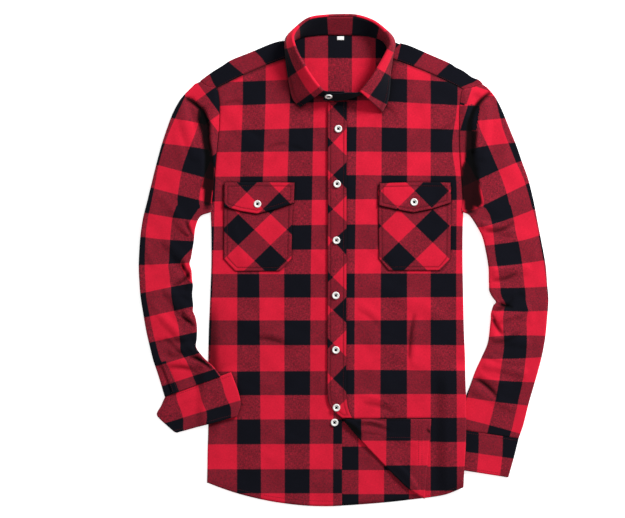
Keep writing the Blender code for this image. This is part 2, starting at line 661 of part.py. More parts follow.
def cuff_rows(rows):
    outer = smooth(points(rows), CUFF_STEPS)
    inner = smooth(points(rows, "inner_x", "inner_y"), CUFF_STEPS)
    return outer, inner, np.full(len(outer), CUFF_HEIGHT)


def cuffs():
    outer, inner, height = cuff_rows(RIGHT_CUFF)
    # Unfastened: it is open along its outer end, so the tube is drawn from that side.
    right = tube(inner, outer, height, CUFF_WALL, arm_lift, NO_CREASES, len(outer))
    cloth("cuff_right", right[:3], CUFF_WALL)
    outer, inner, height = cuff_rows(LEFT_CUFF)
    left = tube(outer, inner, height, CUFF_WALL, no_lift, NO_CREASES, 0)
    cloth("cuff_left", left, CUFF_WALL)


# The collar

def collar_rows():
    """Foot, top, swing, drop and edge of every section of the collar."""
    columns = np.column_stack(list(COLLAR.values()))
    rows = smooth(columns, COLLAR_STEPS)
    return dict(zip(COLLAR_COLUMNS.split(), rows.T))


def collar_stand():
    body = np.column_stack(list(COLLAR.values()))[:, :6]
    laps = [np.column_stack(list(lap.values())) for lap in (UNDER_LAP, OVER_LAP)]
    rows = smooth(np.vstack([laps[0], body, laps[1]]), COLLAR_STEPS)
    foot, top = rows[:, :3], rows[:, 3:]
    shares = np.linspace(0, 1, BAND_POINTS)[None, :, None]
    band = foot[:, None] + shares * (top - foot)[:, None]
    cloth("collar_stand", [band], COLLAR_WALL)
    return rows


def leaf_sections():
    rows = collar_rows()
    foot, top, edge = (np.column_stack([rows[end + axis] for axis in ("_x", "_y", "_z")])
                       for end in ("foot", "top", "edge"))
    out = outward_of(top[:, :2], NECK_MIDDLE)
    swing = list(zip(rows["reach"], rows["drop"]))
    return np.array([leaf_section(*section) for section in zip(foot, top, edge, out, swing)])


def leaf_section(foot, top, edge, out, swing):
    """One section of the leaf: a turn over the stand's top, then a swing down to the edge."""
    out = np.array([*out, 0])
    up = (top - foot) / np.linalg.norm(top - foot)
    lean = up @ out
    outside = np.array([*(out[:2] * up[2]), -lean])
    centre = top + up * LEAF_GAP + outside * LEAF_ROLL
    section = [centre + LEAF_ROLL * (math.cos(angle) * outside + math.sin(angle) * up)
               for angle in np.radians(LEAF_TURN)]
    begin, finish = section[-1], edge
    reach, drop = swing
    swing = begin + out * reach - np.array([0, 0, drop])
    for t in np.linspace(0, 1, LEAF_COLUMNS + 1)[1:]:
        point = (1 - t) ** 2 * begin + 2 * t * (1 - t) * swing + t * t * finish
        section.append([point[0], point[1], max(point[2], COLLAR_WALL / 2 + 0.1)])
    return section


def collar():
    cloth("collar_leaf", [leaf_sections()], COLLAR_WALL)


# What lies on the panels

def strip_plan(rows, columns, steps=1):
    """Points of a piece whose rows run across it at given heights."""
    line = smooth(np.column_stack([rows["y"], rows["x0"], rows["x1"]]), steps)
    shares = np.linspace(0, 1, columns + 1)[None, :]
    x = line[:, 1:2] + shares * (line[:, 2:3] - line[:, 1:2])
    return np.dstack([x, np.broadcast_to(line[:, :1], x.shape)])


def placket():
    plan = strip_plan(PLACKET, PLACKET_FACETS)
    share = lap_share(plan)
    cloth("placket", [with_height(plan, front_height(plan, share) + STEP)])


def pockets():
    for side, body, flap in (("right", RIGHT_POCKET, RIGHT_FLAP),
                             ("left", LEFT_POCKET, LEFT_FLAP)):
        plan = strip_plan(body, POCKET_FACETS)
        cloth("pocket_" + side, [with_height(plan, FRONT_Z + STEP)])
        upper, lower = points(flap, "x0", "y0"), points(flap, "x1", "y1")
        shares = np.linspace(0, 1, FLAP_POINTS)[:, None, None]
        plan = upper[None] + shares * (lower - upper)[None]
        cloth("pocket_flap_" + side, [with_height(plan, FRONT_Z + 2 * STEP)])


def label():
    half_width, half_height = LABEL["width"] / 2, LABEL["height"] / 2
    corners = [[(LABEL["x"] + i * half_width, LABEL["y"] + j * half_height) for i in (-1, 1)]
               for j in (-1, 1)]
    z = BACK_Z + (WALL + LABEL_WALL) / 2 + GAP
    cloth("label", [with_height(np.array(corners), z)], LABEL_WALL, "label")


# Buttons

def button(name, place, tilt=0.0):
    """A turned button whose underside's centre is at a place, tilted about the x axis."""
    bm = bmesh.new()
    verts = [bm.verts.new((r * MM, 0, z * MM)) for r, z in BUTTON_PROFILE]
    for a, b in zip(verts, verts[1:]):
        bm.edges.new((a, b))
    mesh = bpy.data.meshes.new(name)
    bm.to_mesh(mesh)
    bm.free()
    thing = put(mesh, name, "button")
    turn = thing.modifiers.new("turn", "SCREW")
    turn.steps = turn.render_steps = BUTTON_SIDES
    turn.use_merge_vertices = True
    turn.merge_threshold = 0.00001
    thing.location = [c * MM for c in place]
    thing.rotation_euler.x = tilt
    return thing


def buttons(stand_rows):
    placket_top = FRONT_Z + LAP_STEP + STEP + WALL / 2 + GAP
    for i, (x, y) in enumerate(PLACKET_BUTTONS, 1):
        button(f"button_placket_{i}", (x, y, placket_top))
    button("button_front", (*FRONT_BUTTON, FRONT_Z + WALL / 2 + GAP))
    flap_top = FRONT_Z + 2 * STEP + WALL / 2 + GAP
    button("button_pocket_right", (*RIGHT_POCKET_BUTTON, flap_top))
    button("button_pocket_left", (*LEFT_POCKET_BUTTON, flap_top))
    collar_button(stand_rows)


def collar_button(stand_rows):
    lap = stand_rows[-2 * COLLAR_STEPS - 1:]
    order = np.argsort(lap[:, 0])
    at = [np.interp(COLLAR_BUTTON["x"], lap[order, 0], lap[order, i]) for i in range(6)]
    foot, top = np.array(at[:3]), np.array(at[3:])
    centre = foot + COLLAR_BUTTON["up_the_stand"] * (top - foot)
    rise, lean = top[2] - foot[2], top[1] - foot[1]
    tilt = math.atan2(rise, lean)
    out = np.array([0, -math.sin(tilt), math.cos(tilt)])
    place = centre + out * (COLLAR_WALL / 2 + 2 * GAP)
    button("button_collar", place, tilt)


# The whole shirt

def clear_scene():
    for thing in list(bpy.data.objects):
        bpy.data.objects.remove(thing, do_unlink=True)


def centre_plan(origin):
    """Puts the row's origin under the middle of the shirt, on the surface that it lies on."""
    bpy.context.view_layer.update()
    graph = bpy.context.evaluated_depsgraph_get()
    corners = []
    for thing in bpy.data.collections[GARMENT].objects:
        if thing.type == "MESH":
            shown = thing.evaluated_get(graph)
            mesh = shown.to_mesh()
            flat = np.empty(len(mesh.vertices) * 3)
            mesh.vertices.foreach_get("co", flat)
            spots = flat.reshape(-1, 3)
            turned = np.array(thing.matrix_world.to_3x3()) @ spots.T
            corners.append(turned.T + np.array(thing.matrix_world.translation))
            shown.to_mesh_clear()
    spots = np.vstack(corners)
    middle = (spots.min(0) + spots.max(0)) / 2
    origin.location = (-middle[0], -middle[1], -spots[:, 2].min())
    bpy.context.view_layer.update()


def main():
    clear_scene()
    collection = bpy.data.collections.new(GARMENT)
    bpy.context.scene.collection.children.link(collection)
    origin = bpy.data.objects.new(GARMENT + "_origin", None)
    collection.objects.link(origin)
    back()
    yoke()
    front_right()
    front_left()
    sleeves()
    cuffs()
    stand_rows = collar_stand()
    collar()
    placket()
    pockets()
    label()
    buttons(stand_rows)
    centre_plan(origin)


main()
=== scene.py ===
"""The looks of a men's flannel shirt in red and black buffalo plaid, laid flat on its back.

Tables are in millimetres: x across the shirt from the button line, y up from the lowest point
of the hem, z up from the surface that it lies on. "Right" and "left" are the wearer's, and the
right half lies at negative x. Tables of the plaid are in the photograph's pixels.
"""

import math

import bmesh
import bpy
import numpy as np
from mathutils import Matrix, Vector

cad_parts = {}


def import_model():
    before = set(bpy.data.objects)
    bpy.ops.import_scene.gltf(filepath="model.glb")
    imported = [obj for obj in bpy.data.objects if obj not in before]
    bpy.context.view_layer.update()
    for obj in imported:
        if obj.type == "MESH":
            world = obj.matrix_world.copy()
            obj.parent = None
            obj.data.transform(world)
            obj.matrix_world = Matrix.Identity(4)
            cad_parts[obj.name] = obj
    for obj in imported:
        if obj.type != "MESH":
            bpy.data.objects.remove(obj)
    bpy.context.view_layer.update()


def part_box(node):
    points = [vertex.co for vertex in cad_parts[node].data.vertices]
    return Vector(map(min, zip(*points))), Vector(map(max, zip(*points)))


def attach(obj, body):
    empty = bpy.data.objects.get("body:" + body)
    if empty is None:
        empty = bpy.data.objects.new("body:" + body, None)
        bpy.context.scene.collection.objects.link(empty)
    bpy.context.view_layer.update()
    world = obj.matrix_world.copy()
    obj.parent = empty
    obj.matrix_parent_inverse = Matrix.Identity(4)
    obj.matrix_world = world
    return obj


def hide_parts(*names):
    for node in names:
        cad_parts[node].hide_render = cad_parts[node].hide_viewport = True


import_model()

MM = 0.001
PX = 1.6                      # a pixel of the photograph on the shirt
PX_ORIGIN = (337, 506)        # the pixel where x and y are 0

# Cloth
WALL = 1.2                    # brushed twill with its pressed seam allowances
COLLAR_WALL = 2.0             # two layers and the interlining between them
CUFF_WALL = 1.5
LABEL_WALL = 0.8
CURVED_SEAM_GAP = 0.8         # between two sewn edges that have different facets
GAP = 0.4                     # between two pieces that lie on each other
STEP = WALL + GAP             # from the middle of one layer to the middle of the next
LAP_STEP = STEP + 0.15        # the same where the left front laps over the right one
LAP_RAMP = (17, 33)           # where, across the shirt, the left front comes down beside the lap

# Heights of the middle of each layer, where the shirt lies flat
BACK_Z = WALL / 2
FRONT_Z = BACK_Z + 2.0        # a little air is left between front and back

BODY_ROUND = (FRONT_Z - BACK_Z) / 2
SIDE_TURN = 14.0              # how far the fronts reach under the back's sides


def table(columns, rows):
    """The columns of a table by name, each as an array with a value for every row."""
    return dict(zip(columns.split(), np.array(rows, float).T))


def points(columns, x="x", y="y"):
    return np.column_stack([columns[x], columns[y]])


def rows_of(columns):
    """All the columns of a table as one array again, with a row for each of its rows."""
    return np.column_stack(list(columns.values()))


# Points that every seam and edge faces away from
CHEST = (0, 500)
NECK_MIDDLE = (5, 705)

# The hem of back and fronts, from the right side to the left.
HEM = table("x y", [
    (-208, 38), (-182, 28), (-157, 20), (-126, 12), (-94, 6), (-51, 1), (-11, 0), (24, 2),
    (69, 5), (114, 10), (140, 13), (173, 19), (202, 31)])

# Side edges from the hem up to the underarm, with the point of the front edge in the same row.
RIGHT_SIDE = table("edge_x edge_y front_x front_y", [
    (-208, 38, 8, 1),
    (-207.5, 58, 8, 34),
    (-207, 90, 8, 76),
    (-206, 122, 8, 114),
    (-206, 150, 8, 146),
    (-206, 173, 8, 173),
    (-206, 202, 8, 202),
    (-206, 234, 8, 234),
    (-205, 282, 8, 282),
    (-203, 330, 8, 330),
    (-201, 386, 8, 386),
    (-201, 434, 8, 434),
    (-202, 472, 8, 470)])
# The first five rows end on the slanting fold of the turned-back corner.
LEFT_SIDE = table("edge_x edge_y front_x front_y", [
    (202, 31, 140, 13),
    (203, 58, 115, 29),
    (205, 90, 77, 66),
    (206, 122, 40, 105),
    (206, 150, 13, 136),
    (206, 173, -6, 155),
    (205, 202, -14, 182),
    (205, 234, -14, 226),
    (203, 282, -14, 282),
    (202, 330, -14, 330),
    (201, 386, -14, 386),
    (201, 434, -14, 434),
    (202, 472, -14, 477)])
CORNER_ROWS = 5
# Where the rows of the turned-back corner end: the old front edge, now lying across the shirt.
CORNER_END = table("x y", [(150.5, 139.5), (121, 139.5), (80, 139.5), (41, 139.3), (14, 139)])

# Armhole seams from the tip of the shoulder down to the underarm.
RIGHT_ARMHOLE = table("x y", [
    (-218.2, 678.6), (-206, 671), (-193, 668), (-189, 653), (-188, 634), (-189, 606),
    (-192, 576), (-195, 541), (-198, 506), (-202, 472)])
LEFT_ARMHOLE = table("x y", [
    (232, 674.8), (217, 669.5), (202, 666), (198, 653), (196, 634), (196, 606),
    (196, 576), (198, 541), (200, 506), (202, 472)])
ARMHOLE_STEPS = 2             # control points between two rows of an armhole
YOKE_FRONT_ROW = 2            # row where the seam of yoke and front ends
YOKE_BACK_ROW = 4             # row where the seam of yoke and back ends
YOKE_FRONT_AT = YOKE_FRONT_ROW * ARMHOLE_STEPS      # the same two as control points
YOKE_BACK_AT = YOKE_BACK_ROW * ARMHOLE_STEPS

# Necklines of the fronts, from the front edge up to the yoke.
RIGHT_NECK = table("x y", [(8, 653), (-27, 656.5), (-52, 675), (-66, 699), (-72, 720)])
LEFT_NECK = table("x y", [(-13, 649), (18, 651), (47, 665), (72, 697), (79, 718)])

# Folded shoulder edge and back neckline, from the tip of the right shoulder to the left one.
YOKE_TOP = table("x y", [
    (-219, 680), (-211, 686), (-200, 694), (-184, 704), (-168, 714), (-138, 726), (-107, 739),
    (-91, 743.5), (-77, 744.5), (-66, 745.5), (-57, 748), (-42, 751), (-19, 753), (5, 753),
    (29, 752.5), (48, 751), (63, 747), (74, 743), (85, 742.5), (101, 740.5), (117, 736),
    (149, 722), (179, 709), (190, 702), (202, 696), (216, 686), (226, 682), (233, 676)])
SHOULDER_ROWS = 9             # rows of YOKE_TOP on each shoulder, the neck between them
YOKE_SEAM_Y = 682             # back seam of the yoke at the middle
YOKE_SEAM_DROP = 48           # how much lower it ends at the armholes
YOKE_MIDDLE_X = 4             # half way between the two armholes
FRONT_SEAM_SAG = 3            # the front seams of the yoke bow up by this much

# The sleeves, a row for each section from the shoulder to the cuff: the outer edge, the inner
# edge below the underarm, and the height of the sleeve as it lies.
RIGHT_SLEEVE_TOP = table("x y height", [
    (-227, 675, 3.4), (-233, 669, 4.2), (-241, 661, 5.0), (-251, 649, 5.6), (-262, 629, 6.0),
    (-271, 606, 6.2), (-280, 579, 6.2), (-288, 550, 6.2), (-296, 518, 6.2), (-304, 485, 6.2)])
RIGHT_SLEEVE = table("x y inner_x inner_y height", [
    (-304, 485, -202, 472, 6.2),
    (-310, 461, -218, 464, 6.2),
    (-314, 435, -226, 446, 6.2),
    (-316, 410, -229, 422, 6.2),
    (-317, 384, -233, 395, 6.2),
    (-316, 358, -232, 370, 6.2),
    (-314, 334, -232, 346, 6.2),
    (-310, 309, -229, 317, 6.2),
    (-305, 280, -224, 290, 6.0),
    (-299, 254, -224, 269, 6.0),
    (-294, 234, -225, 254, 6.0),
    (-288, 216, -213, 238, 5.6),
    (-282, 197, -198, 224, 5.2),
    (-275.5, 175, -185, 208, 4.8)])
LEFT_SLEEVE_TOP = table("x y height", [
    (239.5, 669.5, 3.4), (247, 661.5, 4.2), (254, 652, 5.0), (262, 637, 5.6), (270, 618, 6.0),
    (278, 598, 6.2), (287, 576, 6.2), (296, 550, 6.2), (306, 522, 6.2), (315, 485, 6.2)])
LEFT_SLEEVE = table("x y inner_x inner_y height", [
    (315, 485, 202, 472, 6.2),
    (320, 458, 211, 466, 6.2),
    (325, 432, 222, 450, 6.2),
    (330, 406, 232, 431, 6.2),
    (334, 382, 238, 406, 6.2),
    (336, 355, 242, 381, 6.2),
    (338, 330, 243, 354, 6.2),
    (336, 301, 249, 325, 6.2),
    (333, 270, 245, 294, 6.2),
    (328, 242, 241, 262, 6.0),
    (322, 218, 232, 240, 5.6),
    (314, 190, 221, 216, 5.0),
    (306, 162, 210, 186, 4.4),
    (298, 130, 194, 150, 4.0),
    (290.5, 108.5, 181, 125, 3.8)])

# The cuffs, a row for each section from the sleeve to the free edge.
RIGHT_CUFF = table("x y inner_x inner_y", [
    (-275.2, 174.3, -168.7, 213.1),
    (-282, 159, -162, 196),
    (-288, 146, -157, 181),
    (-274, 131, -154, 163),
    (-258, 117, -160, 144)])
LEFT_CUFF = table("x y inner_x inner_y", [
    (290.4, 107.8, 180.9, 124.3),
    (283, 78, 179, 93),
    (274, 46, 178, 61)])
CUFF_HEIGHT = 2 * CUFF_WALL + 0.6
CUFF_STEPS = 2                # facets between two rows

# Where cloth lies on cloth beneath it and is lifted: the plateau's height and its two ramps.
RIGHT_ARM_LIFT = table("x0 x1 y0 y1 height", [(-227, -209, 250, 300, 4.3)])
BODY_LIFT = table("x0 x1 low0 low1 high0 high1 height", [(159, 180, 12, 46, 192, 232, 5.3)])
FRONT_EXTRA_LIFT = 0.25       # the left front stands this share higher than the back there
FRONT_LIFT_SPARE = 3.0        # and is lifted over this much more of its width

# Large creases: a ridge, or a trough where the height is negative, from one end to the other.
CREASE_COLUMNS = "x0 y0 x1 y1 half_width height"
RIGHT_SLEEVE_CREASES = table(CREASE_COLUMNS, [
    (-235, 648, -207, 566, 11, -1.7),
    (-250, 640, -226, 560, 13, 2.2),
    (-206, 566, -212, 488, 9, -1.5),
    (-258, 470, -222, 424, 12, 2.4),
    (-270, 420, -232, 384, 12, 2.6),
    (-262, 392, -230, 352, 9, -1.6),
    (-268, 342, -228, 300, 13, 3.0),
    (-276, 300, -240, 262, 11, 2.4),
    (-300, 262, -226, 262, 8, -1.6),
    (-262, 246, -232, 256, 10, 2.6),
    (-284, 232, -214, 228, 10, 2.2)])
LEFT_SLEEVE_CREASES = table(CREASE_COLUMNS, [
    (222, 652, 212, 560, 11, -1.7),
    (238, 640, 234, 560, 14, 2.2),
    (212, 560, 204, 488, 10, -1.5),
    (276, 440, 236, 448, 12, 2.4),
    (300, 380, 246, 372, 13, 2.2),
    (292, 336, 248, 326, 9, -1.8),
    (300, 316, 252, 300, 13, 2.8),
    (300, 262, 246, 270, 12, 2.4),
    (296, 214, 240, 226, 11, 2.2),
    (276, 160, 222, 186, 12, 1.8)])
NO_CREASES = table(CREASE_COLUMNS, [(0, 0, 1, 0, 1, 0)])
BODY_CREASES = table(CREASE_COLUMNS, [
    (-176, 640, -120, 560, 18, 1.2),
    (170, 636, 112, 560, 18, 1.2),
    (-150, 300, -60, 262, 20, 1.5),
    (70, 352, 150, 312, 20, 1.5),
    (60, 262, 138, 236, 18, 1.2)])

# The collar, a row for each section: the stand's foot on the neck seam and its top, where the
# leaf turns over; how far the leaf swings out and down from there, and the leaf's free edge.
COLLAR_COLUMNS = "foot_x foot_y foot_z top_x top_y top_z reach drop edge_x edge_y edge_z"
COLLAR = table(COLLAR_COLUMNS, [
    (-26, 656, 4.0, -22, 662, 26, 9, 4, -58, 638, 4.8),
    (-43, 666, 4.0, -34, 675, 27, 9, 4, -70, 650, 4.7),
    (-57, 681, 4.0, -44, 689, 28, 9, 4, -75, 669, 4.7),
    (-66, 700, 4.0, -54, 706, 29, 9, 4, -79, 693, 4.7),
    (-72, 720, 4.0, -62, 721, 30, 9, 5, -82, 717, 4.9),
    (-73, 734, 4.0, -68, 737, 30, 9, 8, -83, 736, 5.5),
    (-68, 744, 2.6, -68.5, 750, 27, 6, 14, -80, 751, 4.6),
    (-57, 749, 1.7, -58.5, 764.5, 22, 3, 16, -65, 760, 1.6),
    (-42, 751.5, 1.6, -43, 775.5, 19, 2, 18, -45, 761, 1.2),
    (-19, 753.5, 1.6, -21, 779.3, 18, 2, 18, -19, 760, 1.2),
    (5, 753.5, 1.6, 5, 780.5, 18, 2, 18, 5, 760, 1.2),
    (29, 753, 1.6, 31, 779.6, 18, 2, 18, 29, 760, 1.2),
    (48, 751.5, 1.6, 53, 772.5, 19, 2, 18, 50, 761, 1.2),
    (64, 748, 1.7, 67.5, 762.5, 22, 3, 16, 71, 759, 1.6),
    (75, 742, 2.6, 79.5, 748, 27, 6, 14, 88, 750, 4.6),
    (80, 731, 4.0, 82.5, 735, 30, 9, 8, 91, 735, 5.5),
    (79, 717, 4.0, 75, 718, 30, 9, 5, 88.5, 715, 4.9),
    (72, 698, 4.0, 66, 702, 29, 9, 4, 85, 691, 4.7),
    (62, 681, 4.0, 56, 685, 28, 9, 4, 84, 669, 4.7),
    (48, 665, 4.0, 46, 672, 27, 9, 4, 81, 648, 4.7),
    (33, 656, 4.6, 36, 659.5, 26, 9, 4, 72, 630, 4.8)])
LAP_COLUMNS = "foot_x foot_y foot_z top_x top_y top_z"
UNDER_LAP = table(LAP_COLUMNS, [
    (12, 653.8, 4.2, 12, 665, 25),
    (-8, 654.0, 4.2, -5, 665, 25.5)])
OVER_LAP = table(LAP_COLUMNS, [
    (14, 650.3, 5.4, 15, 658.5, 25.5),
    (-5, 648.6, 5.4, -3, 657.5, 25),
    (-22, 649.4, 5.4, -19, 658, 25)])
LEAF_ROLL = 2.0               # radius of the leaf's turn over the stand
LEAF_GAP = 0.7                # between the stand's top and the leaf
LEAF_TURN = (180, 60)         # where that turn starts and ends, in degrees
LEAF_FACETS = 22              # from that turn to the free edge
STAND_FACETS = 10             # from the stand's foot to its top
STAND_STEPS = 8               # sections of the stand from one row of its tables to the next

# The placket strip, the pockets and their flaps, a row for each line across the strip.
PLACKET = table("y x0 x1", [
    (646, -15, 15.5), (560, -15, 15.2), (420, -15, 15), (300, -15.3, 14.8), (200, -15.5, 14.6),
    (178, -15.2, 14.6), (164, -12.5, 16), (154, -5.5, 18.5), (145, 3.5, 22), (141.5, 9, 24.5)])
RIGHT_POCKET = table("y x0 x1", [
    (511, -181, -71), (480, -181, -71), (396, -181, -73), (385, -171, -82), (376, -162, -92)])
LEFT_POCKET = table("y x0 x1", [
    (511, 66, 182), (480, 66, 182), (396, 67, 181), (386, 75, 173), (377, 83, 165)])
RIGHT_FLAP = table("x0 y0 x1 y1", [
    (-180, 517, -180, 479), (-154, 517.5, -153, 471.5), (-128, 517.5, -128, 467.5),
    (-98, 517.5, -97, 475), (-68, 517, -69, 485)])
LEFT_FLAP = table("x0 y0 x1 y1", [
    (68, 516, 67, 481), (96, 517, 94, 474.5), (125, 517.5, 122, 469.5),
    (153, 517.5, 152, 475.5), (181, 517, 181, 485)])
LABEL = {"x": 5.5, "y": 748.2, "width": 11.0, "height": 6.0}
COLLAR_BUTTON_X = -15.5
BUTTON_LAP_ROWS = 2 * STAND_STEPS + 1     # sections of the stand's lap that it is sewn on
POCKETS = {"right": (RIGHT_POCKET, RIGHT_FLAP), "left": (LEFT_POCKET, LEFT_FLAP)}
PLACKET_STRAIGHT = 170        # the placket runs straight above this height
# The strip on the right sleeve: between two shares of its width, over the end of its length,
# with the plaid shifted across by part of a line.
SLEEVE_PLACKET_SHARES = (0.755, 0.885)
SLEEVE_PLACKET_LENGTH = 60
SLEEVE_PLACKET_SHIFT = -0.3

# How the body's columns are spread, as shares of the way from the side to the front edge.
RIGHT_COLUMNS = np.array([0, 0.1, 0.22, 0.36, 0.5, 0.64, 0.78, 0.9, 1])
LEFT_COLUMNS = np.array([0, 0.06, 0.12, 0.18, 0.26, 0.38, 0.52, 0.66, 0.79, 0.86, 0.93, 1])
BACK_X = [-188, -150, -110, -70, -30, 10, 50, 90, 125, 150, 163, 173, 182, 190]
SPACING_ROW = 8               # the row whose length decides how many facets a panel has across
BENT_ROWS = (1, 0.5, 0.15)    # how much the rows nearest to the hem or top seam bend with it
FRONTS = {"right": (RIGHT_SIDE, RIGHT_ARMHOLE, RIGHT_NECK, RIGHT_COLUMNS),
          "left": (LEFT_SIDE, LEFT_ARMHOLE, LEFT_NECK, LEFT_COLUMNS)}

# Fine creases: from one end to the other, with the middle bowed to one side, the width of each
# flank, and the rise, negative for a trough. They fade out towards both ends.
FOLD_COLUMNS = "x0 y0 x1 y1 bow left right rise"
RIGHT_SLEEVE_FOLDS = table(FOLD_COLUMNS, [
    (-249, 656, -206, 586, 15, 6, 6, -3.6),
    (-215, 640, -206, 480, 5, 7, 9, -4.2),
    (-205, 562, -209, 470, 0, 11, 9, -3.4),
    (-230, 640, -220, 540, 6, 10, 7, 1.4),
    (-262, 458, -228, 430, -3, 8, 4, 1.8),
    (-242, 458, -226, 420, 0, 4, 5, -2.6),
    (-249, 394, -241, 344, 4, 5, 7, -1.9),
    (-240, 390, -236, 350, -3, 5, 6, 1.7),
    (-236, 372, -262, 352, 3, 4, 7, -1.6),
    (-250, 388, -232, 350, 5, 4, 8, -1.8),
    (-262, 326, -230, 300, -5, 8, 4, 1.9),
    (-252, 318, -225, 288, -3, 4, 7, -2.4),
    (-268, 338, -230, 332, 4, 7, 5, 1.2),
    (-276, 270, -240, 246, -3, 7, 4, 1.3),
    (-276, 270, -247, 245, 0, 4, 6, -2.2),
    (-236, 240, -199, 220, 3, 6, 6, -2.8),
    (-240, 252, -200, 236, 3, 6, 5, 1.6),
    (-270, 222, -222, 214, 4, 5, 7, -1.2),
    (-300, 330, -282, 300, 4, 6, 9, 0.9),
    (-304, 420, -286, 380, -5, 9, 7, 0.8),
    (-296, 500, -262, 470, 5, 12, 8, 0.9),
    (-262, 600, -246, 540, 5, 10, 14, 0.9)])
LEFT_SLEEVE_FOLDS = table(FOLD_COLUMNS, [
    (250, 664, 211, 590, -13, 6, 6, -3.6),
    (212, 622, 210, 468, 0, 8, 11, -4.2),
    (218, 568, 213, 462, 0, 14, 15, -3.6),
    (228, 640, 224, 540, -2, 7, 10, 1.5),
    (246, 329, 282, 317, 0, 4, 5, -2.6),
    (245, 314, 266, 273, -3, 5, 5, -2.2),
    (218, 206, 258, 172, 4, 5, 6, -2.4),
    (282, 452, 236, 440, 5, 5, 8, -1.8),
    (276, 462, 230, 452, 4, 8, 5, 1.6),
    (292, 388, 246, 380, 4, 8, 5, 1.4),
    (288, 372, 246, 360, 3, 4, 7, -1.4),
    (286, 344, 246, 326, 5, 8, 4, 1.8),
    (282, 332, 250, 312, 4, 4, 8, -1.7),
    (300, 306, 252, 290, -5, 8, 5, 1.5),
    (292, 276, 246, 262, 4, 5, 8, -1.3),
    (300, 232, 240, 244, 6, 8, 5, 1.3),
    (280, 196, 226, 214, 5, 8, 5, 1.2),
    (318, 420, 300, 380, 5, 9, 7, 0.8),
    (324, 330, 310, 290, -5, 7, 9, 0.8),
    (268, 600, 262, 530, 4, 12, 9, 0.9)])
BODY_FOLDS = table(FOLD_COLUMNS, [
    (-130, 268, -82, 259, 3, 5, 5, -1.3),
    (-184, 642, -150, 646, 3, 4, 5, -0.7),
    (-112, 572, -74, 578, 4, 5, 5, -0.8),
    (-150, 604, -120, 588, 3, 5, 7, -0.6),
    (58, 648, 96, 622, 4, 6, 6, -0.7),
    (150, 600, 186, 612, -3, 5, 6, -0.7),
    (-200, 330, -196, 110, 0, 12, 26, -1.0),
    (30, 316, 72, 284, 4, 6, 8, -0.6),
    (-132, 275, -80, 268, 3, 7, 5, 0.9),
    (124, 308, 115, 226, -2, 5, 5, -1.8),
    (132, 312, 123, 224, -2, 8, 7, 0.8),
    (26, 330, 72, 292, 4, 8, 9, 0.6),
    (34, 178, 94, 158, 4, 8, 6, 1.0),
    (40, 166, 96, 148, 4, 5, 8, -0.9),
    (-76, 576, -50, 566, 2, 5, 5, -0.8),
    (-186, 214, -110, 190, 6, 14, 10, 0.9),
    (-100, 120, -30, 96, -6, 12, 16, 0.8),
    (-160, 96, -90, 70, 5, 10, 14, 0.8),
    (60, 240, 150, 214, 6, 12, 9, 0.8),
    (-176, 470, -150, 380, 6, 9, 12, 0.7),
    (-60, 640, -40, 560, 4, 10, 12, 0.7),
    (50, 628, 42, 548, -4, 12, 10, 0.7),
    (-60, 420, -20, 380, 5, 10, 10, 0.6),
    (40, 430, 90, 400, -5, 10, 10, 0.6)])
BACK_FOLDS = table(FOLD_COLUMNS, [
    (-150, 560, -60, 520, 8, 9, 6, 1.8),
    (140, 540, 40, 480, -8, 6, 9, 1.7),
    (-120, 300, 20, 260, 10, 8, 11, 1.5),
    (-186, 430, -150, 300, 6, 8, 6, 1.4),
    (180, 380, 160, 240, -6, 7, 9, 1.2),
    (20, 200, 130, 150, -8, 9, 7, 1.6),
    (30, 96, 88, 40, 6, 6, 9, 1.3),
    (-60, 420, 60, 400, 6, 10, 7, 1.2)])
CORNER_FOLDS = table(FOLD_COLUMNS, [
    (30, 131, 86, 120, 5, 3.5, 5, -1.5),
    (28, 137, 78, 129, 4, 4, 4, 1.4),
    (34, 118, 76, 111, 2, 3, 4, -0.8),
    (8, 134, 40, 108, 4, 8, 7, -2.4),
    (2, 139, 34, 118, 2, 7, 7, -1.6),
    (20, 139, 118, 138, 0, 3, 2.5, -1.2),
    (60, 110, 130, 96, 6, 10, 8, 0.9),
    (126, 40, 142, 128, 4, 9, 7, 0.9),
    (142, 124, 152, 116, 0, 4, 4, -2.4),
    (90, 70, 132, 22, 4, 5, 12, 2.2)])
CUFF_FOLDS = table(FOLD_COLUMNS, [
    (-270, 160, -200, 176, 4, 8, 8, 0.5),
    (270, 90, 200, 84, 4, 8, 8, 0.4)])
# Where the inner edge of a sleeve is drawn in by a fold, or out to the side seam: the place, how
# deep, and how far.
NOTCHES = {"right": [(-232, 388, 2.5, 7), (-228, 312, 2.0, 6), (-232, 352, -2.0, 9),
                     (-203, 475, -3.0, 6)],
           "left": [(252, 328, 5.5, 5), (246, 344, -2.0, 7), (246, 308, -1.5, 7),
                    (205, 475, -3.0, 6)]}
NOTCH_WINDOW = 40             # a notch moves only points that lie this near to it across

# The plaid. A line is where the colour changes, numbered in order: the cloth is dark from each
# odd line to the next even one. Across: the pixel of each line on the chest, at the waist and at
# the hem.
RIGHT_LINES_ACROSS = table("line chest waist hem", [
    (-1, 193, 188, 182), (0, 217.5, 213, 206), (1, 243, 237.4, 237.2), (2, 265.8, 259.2, 261),
    (3, 290, 284.2, 284.8), (4, 313.7, 310.8, 309.6), (5, 337, 334, 333), (6, 361, 358, 357)])
LEFT_LINES_ACROSS = table("line chest waist hem", [
    (-2, 310, 306, 306), (-1, 334, 330, 330), (0, 356.8, 354.6, 354), (1, 381.8, 380.8, 380),
    (2, 407, 406.9, 406.9), (3, 430.5, 430.5, 430.5), (4, 457.5, 456, 456.5), (5, 482, 480, 480),
    (6, 506, 504, 504)])
LEVELS = (100, 270, 480)      # the pixel rows of the three
